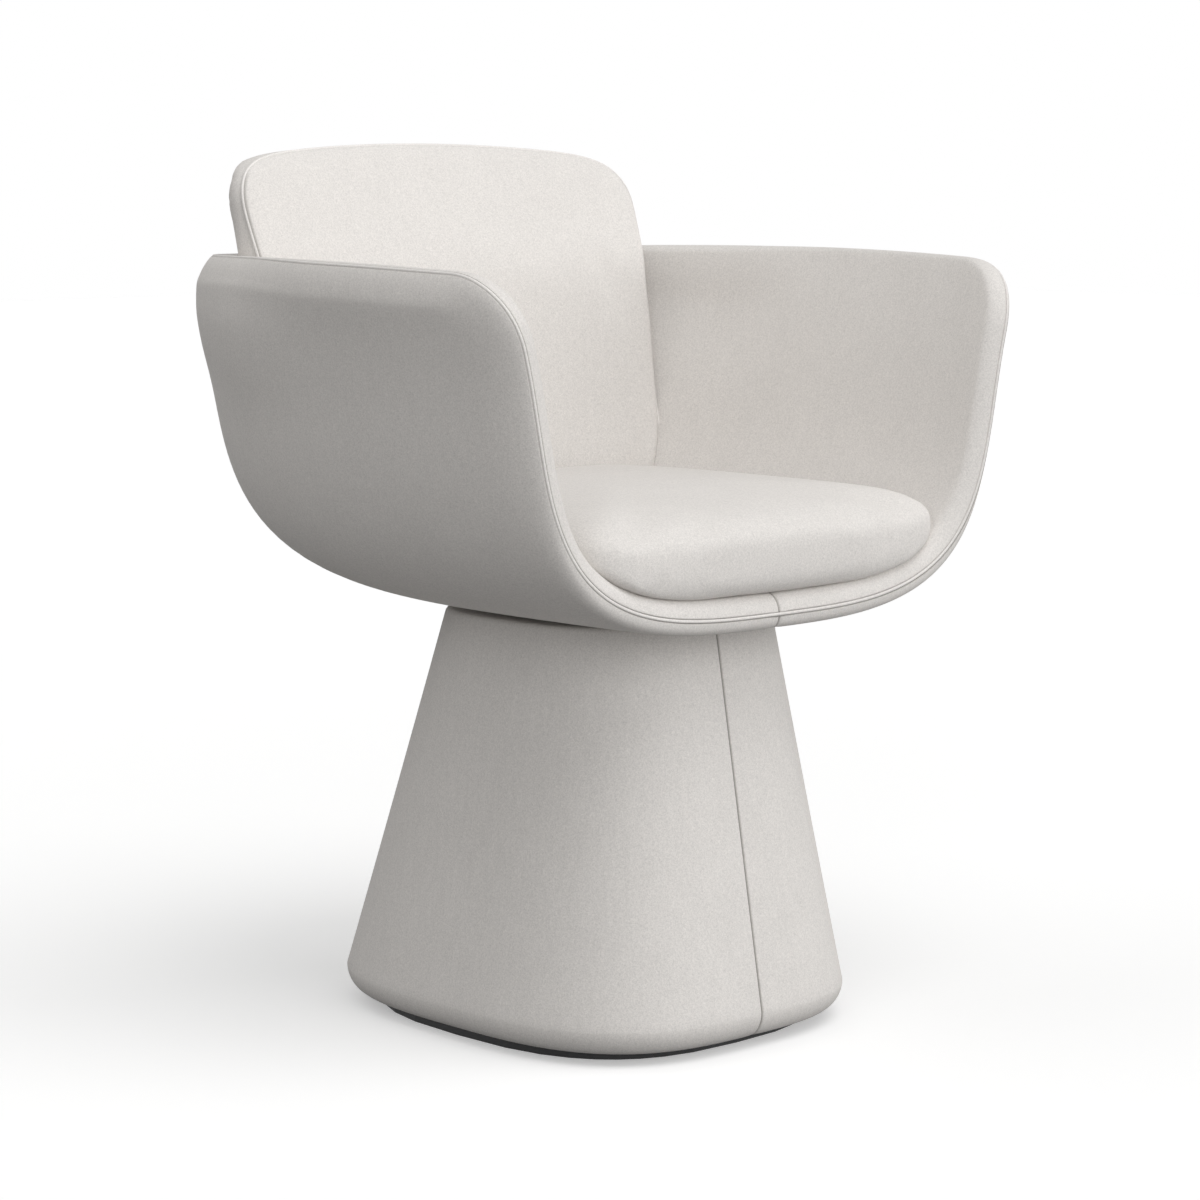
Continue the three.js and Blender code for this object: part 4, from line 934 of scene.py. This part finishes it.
def arithmetic(tree, kind, a, b):
    """One sum, product or other operation on two links or numbers."""
    made = tree.nodes.new("ShaderNodeMath")
    made.operation = kind
    for number, value in enumerate((a, b)):
        feed(tree, made.inputs[number], value)
    return made.outputs[0]


def object_coordinates(tree, scale=(1, 1, 1)):
    """Object coordinates, stretched by a Mapping node."""
    where = tree.nodes.new("ShaderNodeTexCoord").outputs["Object"]
    return add_node(tree, "ShaderNodeMapping", Vector=where, Scale=scale).outputs["Vector"]


def noise(tree, vector, scale, detail, roughness=0.5):
    """A noise texture's value at a scale in waves per metre."""
    return add_node(tree, "ShaderNodeTexNoise", Vector=vector, Scale=scale, Detail=detail,
                    Roughness=roughness).outputs[0]


def new_group(name, inputs):
    """A node group with inputs by name and default, and the values that they bring in."""
    group = bpy.data.node_groups.new(name, "ShaderNodeTree")

    def add_socket(label, way, default):
        kind = "NodeSocketColor" if isinstance(default, tuple) else "NodeSocketFloat"
        group.interface.new_socket(label, in_out=way, socket_type=kind).default_value = default

    for label, default in inputs.items():
        add_socket(label, "INPUT", default)
    for label, default in GROUP_OUTPUTS.items():
        add_socket(label, "OUTPUT", default)
    return group, group.nodes.new("NodeGroupInput").outputs


def closed_group(group, *values):
    """Leads colour, roughness and height out of a group."""
    feeds = dict(zip(GROUP_OUTPUTS, values))
    add_node(group, "NodeGroupOutput", **feeds)
    return group


def felted_wool_group():
    """Felted wool: fine fibres and soft mottling, faint streaks down the cloth, and seams darker
    where light doesn't reach. The height is that of the nap."""
    group, given = new_group("felted_wool", {"Wool": (0.7, 0.68, 0.65, 1), "Grain": 1.0,
                                             "Streaks": 1.0, "Seam Shade": 0.5})
    plain = object_coordinates(group)
    down = object_coordinates(group, (1, 1, 0.06))
    fibre = noise(group, plain, 950, 2.0, 0.6)
    clump = noise(group, plain, 460, 3.0, 0.6)
    cloud = noise(group, plain, 22, 3.0, 0.55)
    streak = noise(group, down, 170, 2.0, 0.5)

    def tinge(pattern, strength):
        return spread(group, pattern, *NOISE_RANGE, -strength, strength)

    tone = arithmetic(group, "ADD", tinge(fibre, 0.10), tinge(clump, 0.065))
    tone = arithmetic(group, "MULTIPLY", tone, given["Grain"])
    lines = arithmetic(group, "MULTIPLY", tinge(streak, 0.012), given["Streaks"])
    for more in (lines, tinge(cloud, 0.012), 1.0):
        tone = arithmetic(group, "ADD", tone, more)
    grey = group.nodes.new("ShaderNodeCombineColor")
    for k in range(3):
        feed(group, grey.inputs[k], tone)
    colour = mix_colour(group, "MULTIPLY", 1.0, given["Wool"], grey.outputs[0])
    # Painted shade: the seam attribute mixes the dark seam colour into the wool in grooves and
    # creases.
    seam = group.nodes.new("ShaderNodeAttribute")
    seam.attribute_name = "seam"
    shade = arithmetic(group, "MULTIPLY", seam.outputs["Fac"], given["Seam Shade"])
    nap = arithmetic(group, "ADD", arithmetic(group, "MULTIPLY", fibre, 0.6),
                     arithmetic(group, "MULTIPLY", clump, 0.4))
    return closed_group(group, mix_colour(group, "MIX", shade, colour, SEAM_SHADE_COLOUR),
                        spread(group, clump, *NOISE_RANGE, 0.9, 0.98), nap)


def timber_group():
    """Timber faces: long grain lines along Y with a slow wander, and fine pores."""
    group, given = new_group("timber_grain", {"Light": (0.6, 0.42, 0.25, 1),
                                              "Dark": (0.38, 0.24, 0.13, 1), "Contrast": 1.0})
    along = object_coordinates(group, (1, 0.07, 1))
    ring = noise(group, along, 60, 4.0, 0.6)
    pore = noise(group, along, 700, 2.0, 0.5)
    mask = arithmetic(group, "MULTIPLY", spread(group, ring, 0.35, 0.65), given["Contrast"])
    return closed_group(group, mix_colour(group, "MIX", mask, given["Light"], given["Dark"]),
                        spread(group, pore, *NOISE_RANGE, 0.55, 0.75), pore)


def metal_group():
    """Metal sheet: fine brushed lines or a powdery skin, by the scale of its pattern."""
    group, given = new_group("metal_skin", {"Metal": (0.5, 0.5, 0.5, 1), "Fine Scale": 900.0,
                                            "Rough Low": 0.3, "Rough High": 0.5})
    vector = object_coordinates(group, (1, 0.1, 1))
    fine = noise(group, vector, given["Fine Scale"], 3.0)
    blotch = noise(group, vector, 25, 2.0)
    rough = spread(group, fine, *NOISE_RANGE, given["Rough Low"], given["Rough High"])
    shade = spread(group, blotch, *NOISE_RANGE, 0.0, 0.22)
    colour = mix_colour(group, "MULTIPLY", shade, given["Metal"], (0.7, 0.7, 0.72, 1))
    return closed_group(group, colour, rough, fine)


WOOL, TIMBER, METAL = felted_wool_group(), timber_group(), metal_group()


def material(name, group, bump, distance, sockets, surface):
    """A material: its Principled shader takes colour, roughness and bump from a group with its own
    values, and has its constants on its own sockets."""
    made = bpy.data.materials.new(name)
    made.use_nodes = True
    tree = made.node_tree
    shader = tree.nodes["Principled BSDF"]
    source = tree.nodes.new("ShaderNodeGroup")
    source.node_tree = group
    for node, values in ((source, sockets), (shader, surface)):
        for key, value in values.items():
            node.inputs[key].default_value = value
    relief = add_node(tree, "ShaderNodeBump", Strength=bump, Distance=distance,
                      Height=source.outputs["Height"])
    for socket, value in (("Base Color", source.outputs["Color"]),
                          ("Roughness", source.outputs["Roughness"]),
                          ("Normal", relief.outputs["Normal"])):
        feed(tree, shader.inputs[socket], value)
    return made


def wool(name, colour, seam_shade, streaks=1.0, grain=1.0):
    """A finish of felted wool in a colour."""
    return material(name, WOOL, 0.35, 0.0006,
                    {"Wool": colour, "Seam Shade": seam_shade, "Streaks": streaks, "Grain": grain},
                    {"Specular IOR Level": 0.2, "Sheen Weight": 0.12, "Sheen Roughness": 0.6,
                     "Sheen Tint": (1.0, 0.98, 0.96, 1)})


# The piping's wool is painted lighter than the covers' as a highlight, for the light that its round
# face catches.
WOOL_COLOUR, PIPING_HIGHLIGHT_COLOUR = (0.735, 0.708, 0.681, 1), (0.80, 0.775, 0.75, 1)
wool_tub = wool("Felted wool, tub", WOOL_COLOUR, 0.55)
wool_cushions = wool("Felted wool, cushions", WOOL_COLOUR, 0.4, 0.7)
wool_pedestal = wool("Felted wool, pedestal", WOOL_COLOUR, 0.75, 1.3)
wool_piping = wool("Felted wool, piping", PIPING_HIGHLIGHT_COLOUR, 0.3, 0.0, 0.7)
plywood = material("Plywood", TIMBER, 0.15, 0.0003, {}, {})
fibreboard = material("Bent fibreboard", TIMBER, 0.2, 0.0003,
                      {"Light": (0.33, 0.22, 0.12, 1), "Dark": (0.27, 0.18, 0.1, 1),
                       "Contrast": 0.6}, {})
steel = material("Brushed steel", METAL, 0.05, 0.0001,
                 {"Metal": (0.56, 0.57, 0.58, 1)}, {"Metallic": 1.0})
black_steel = material("Black powder-coated steel", METAL, 0.2, 0.0002,
                       {"Metal": (0.012, 0.012, 0.013, 1), "Fine Scale": 1600.0, "Rough Low": 0.5,
                        "Rough High": 0.7}, {"Metallic": 0.0})
nylon = material("Moulded nylon", METAL, 0.08, 0.0001,
                 {"Metal": (0.78, 0.76, 0.7, 1), "Fine Scale": 1200.0, "Rough Low": 0.4,
                  "Rough High": 0.55}, {"Metallic": 0.0})


def dress(piece, finish, body, nodes):
    """Gives a finished piece its material, its body and the CAD nodes it stands for."""
    piece.data.materials.clear()
    piece.data.materials.append(finish)
    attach(piece, body)
    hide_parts(*nodes)


# ---------------- pieces
for cover, side in (("tub_outer_cover", 1), ("tub_inner_cover", -1)):
    for piece, hand in zip(cover_pair(cover + "_padded", side), ("_right", "_left")):
        dress(piece, wool_tub, "seat", [cover + hand])
dress(moulded_shell(), plywood, "seat", ["tub_shell"])
dress(rim_piping(), wool_piping, "seat", ["rim_piping"])
dress(seat_cushion(), wool_cushions, "seat", ["seat_cushion"])
for piece, node_name in zip(back_pads(), ("back_front_pad", "back_rear_pad")):
    dress(piece, wool_cushions, "seat", [node_name])
dress(back_welt(), wool_piping, "seat", ["back_piping"])
for piece, hand in zip(pedestal_cover(), ("_right", "_left")):
    dress(piece, wool_pedestal, "pedestal", ["pedestal_cover" + hand])

# CAD nodes that stay get their finish by name
NODE_FINISH = {
    "base_plate": black_steel, "ballast_plate": black_steel, "pedestal_drum": fibreboard,
    "swivel_ball_ring": nylon,
}
TIMBER_NODES = ("base_board", "frame_post", "top_board", "spacer_disc", "tub_shell", "back_board")
for node_name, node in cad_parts.items():
    finish = NODE_FINISH.get(node_name, plywood if node_name.startswith(TIMBER_NODES) else steel)
    if not node.hide_render:
        if not node.material_slots:
            node.data.materials.append(finish)
        for material_slot in node.material_slots:
            material_slot.material = finish


# ---------------- floor, light and camera
FLOOR_HALF, FLOOR_SEEN, FLOOR_CALM, FLOOR_GLOW = 14.0, 0.8, 0.2, 0.335
WORLD_LEVEL, WORLD_COLOUR = 0.31, (1.0, 0.995, 0.985, 1)
# Each lamp: direction it shines from, strength, and angle in degrees
LAMPS = {
    "Right soft box": ((0.696, -0.696, 0.174), 1.28, 50),
    "Left soft box": ((-0.696, -0.696, 0.174), 0.75, 50),
    "Front soft box": ((0.0, -0.985, 0.174), 0.68, 50),
    "High front light": ((0.0, -0.423, 0.906), 0.80, 40),
    "High left light": ((-0.299, -0.299, 0.906), 0.16, 30),
    "Rear left light": ((-0.542, 0.542, 0.643), 0.45, 60),
}
# The photograph's camera; lengths in metres, angles in degrees
CAMERA_AWAY, CAMERA_HEIGHT = 2.99063, 0.76625
CAMERA_TURN, CAMERA_ASIDE, CAMERA_PITCH = -43.1129, -0.1324, 7.4148
FOCAL_PIXELS, PICTURE_PIXELS, SENSOR_WIDTH = 3343.2, 1200, 36.0


def grey_of(value):
    """An opaque grey."""
    return (value, value, value, 1)


def seen_apart(tree, out, felt, seen):
    """Gives camera, mirror and glass rays one shader, and all other rays another."""
    path = tree.nodes.new("ShaderNodeLightPath").outputs
    rays = arithmetic(tree, "MAXIMUM", path["Is Camera Ray"], path["Is Glossy Ray"])
    rays = arithmetic(tree, "MAXIMUM", rays, path["Is Transmission Ray"])
    choose = tree.nodes.new("ShaderNodeMixShader")
    for socket, value in zip(choose.inputs, (rays, felt.outputs[0], seen.outputs[0])):
        feed(tree, socket, value)
    feed(tree, out.inputs["Surface"], choose.outputs[0])


def studio_floor():
    """A wide pale floor. The camera sees it white with the object's shadow on it; other rays see
    a calmer grey, so that it throws no more light up than a studio floor does."""
    mesh = bpy.data.meshes.new("studio_floor")
    corners = ((-1, -1), (1, -1), (1, 1), (-1, 1))
    mesh.from_pydata([(x * FLOOR_HALF, y * FLOOR_HALF, 0) for x, y in corners], [], [(0, 1, 2, 3)])
    floor = add_object("studio_floor", mesh)
    made = bpy.data.materials.new("Studio floor")
    made.use_nodes = True
    tree = made.node_tree
    tree.nodes.clear()
    out = tree.nodes.new("ShaderNodeOutputMaterial")
    seen = tree.nodes.new("ShaderNodeAddShader")
    pale = add_node(tree, "ShaderNodeBsdfDiffuse", Color=grey_of(FLOOR_SEEN))
    glow = add_node(tree, "ShaderNodeEmission", Color=grey_of(1), Strength=FLOOR_GLOW)
    feed(tree, seen.inputs[0], pale.outputs[0])
    feed(tree, seen.inputs[1], glow.outputs[0])
    calm = add_node(tree, "ShaderNodeBsdfDiffuse", Color=grey_of(FLOOR_CALM))
    seen_apart(tree, out, calm, seen)
    floor.data.materials.append(made)


def studio_world():
    """Even, soft light from all round; the camera and reflections see plain white."""
    world = bpy.data.worlds.new("Studio")
    scene.world = world
    world.use_nodes = True
    tree = world.node_tree
    tree.nodes.clear()
    out = tree.nodes.new("ShaderNodeOutputWorld")
    soft = add_node(tree, "ShaderNodeBackground", Color=WORLD_COLOUR, Strength=WORLD_LEVEL)
    white = add_node(tree, "ShaderNodeBackground", Color=grey_of(1), Strength=1.0)
    seen_apart(tree, out, soft, white)


def sun(name, towards, strength, width):
    """A sun lamp shining from a direction, as wide as an angle in degrees."""
    data = bpy.data.lights.new(name, "SUN")
    data.energy, data.angle = strength, math.radians(width)
    lamp = add_object(name, data)
    lamp.rotation_mode = "QUATERNION"
    lamp.rotation_quaternion = Vector(towards).to_track_quat("Z", "Y")


def photo_camera():
    """The camera of the photograph: 2.99 m from the swivel axis, 0.766 m up, 43 degrees to the
    chair's right-hand side, pitched 7.4 degrees down."""
    turn, aside, pitch = (math.radians(a) for a in (CAMERA_TURN, CAMERA_ASIDE, CAMERA_PITCH))
    heading = turn - aside
    forward = Vector((-math.sin(heading) * math.cos(pitch), math.cos(heading) * math.cos(pitch),
                      -math.sin(pitch)))
    data = bpy.data.cameras.new("Photo camera")
    data.sensor_fit, data.sensor_width = "HORIZONTAL", SENSOR_WIDTH
    data.lens = FOCAL_PIXELS / PICTURE_PIXELS * SENSOR_WIDTH
    data.clip_start, data.clip_end = 0.1, 100.0
    camera = add_object("Photo camera", data)
    camera.location = (CAMERA_AWAY * math.sin(turn), -CAMERA_AWAY * math.cos(turn), CAMERA_HEIGHT)
    camera.rotation_mode = "QUATERNION"
    camera.rotation_quaternion = forward.to_track_quat("-Z", "Y")
    scene.camera = camera


studio_floor()
studio_world()
for lamp_name, (towards, strength, width) in LAMPS.items():
    sun(lamp_name, towards, strength, width)
photo_camera()
scene.view_settings.view_transform = "Standard"
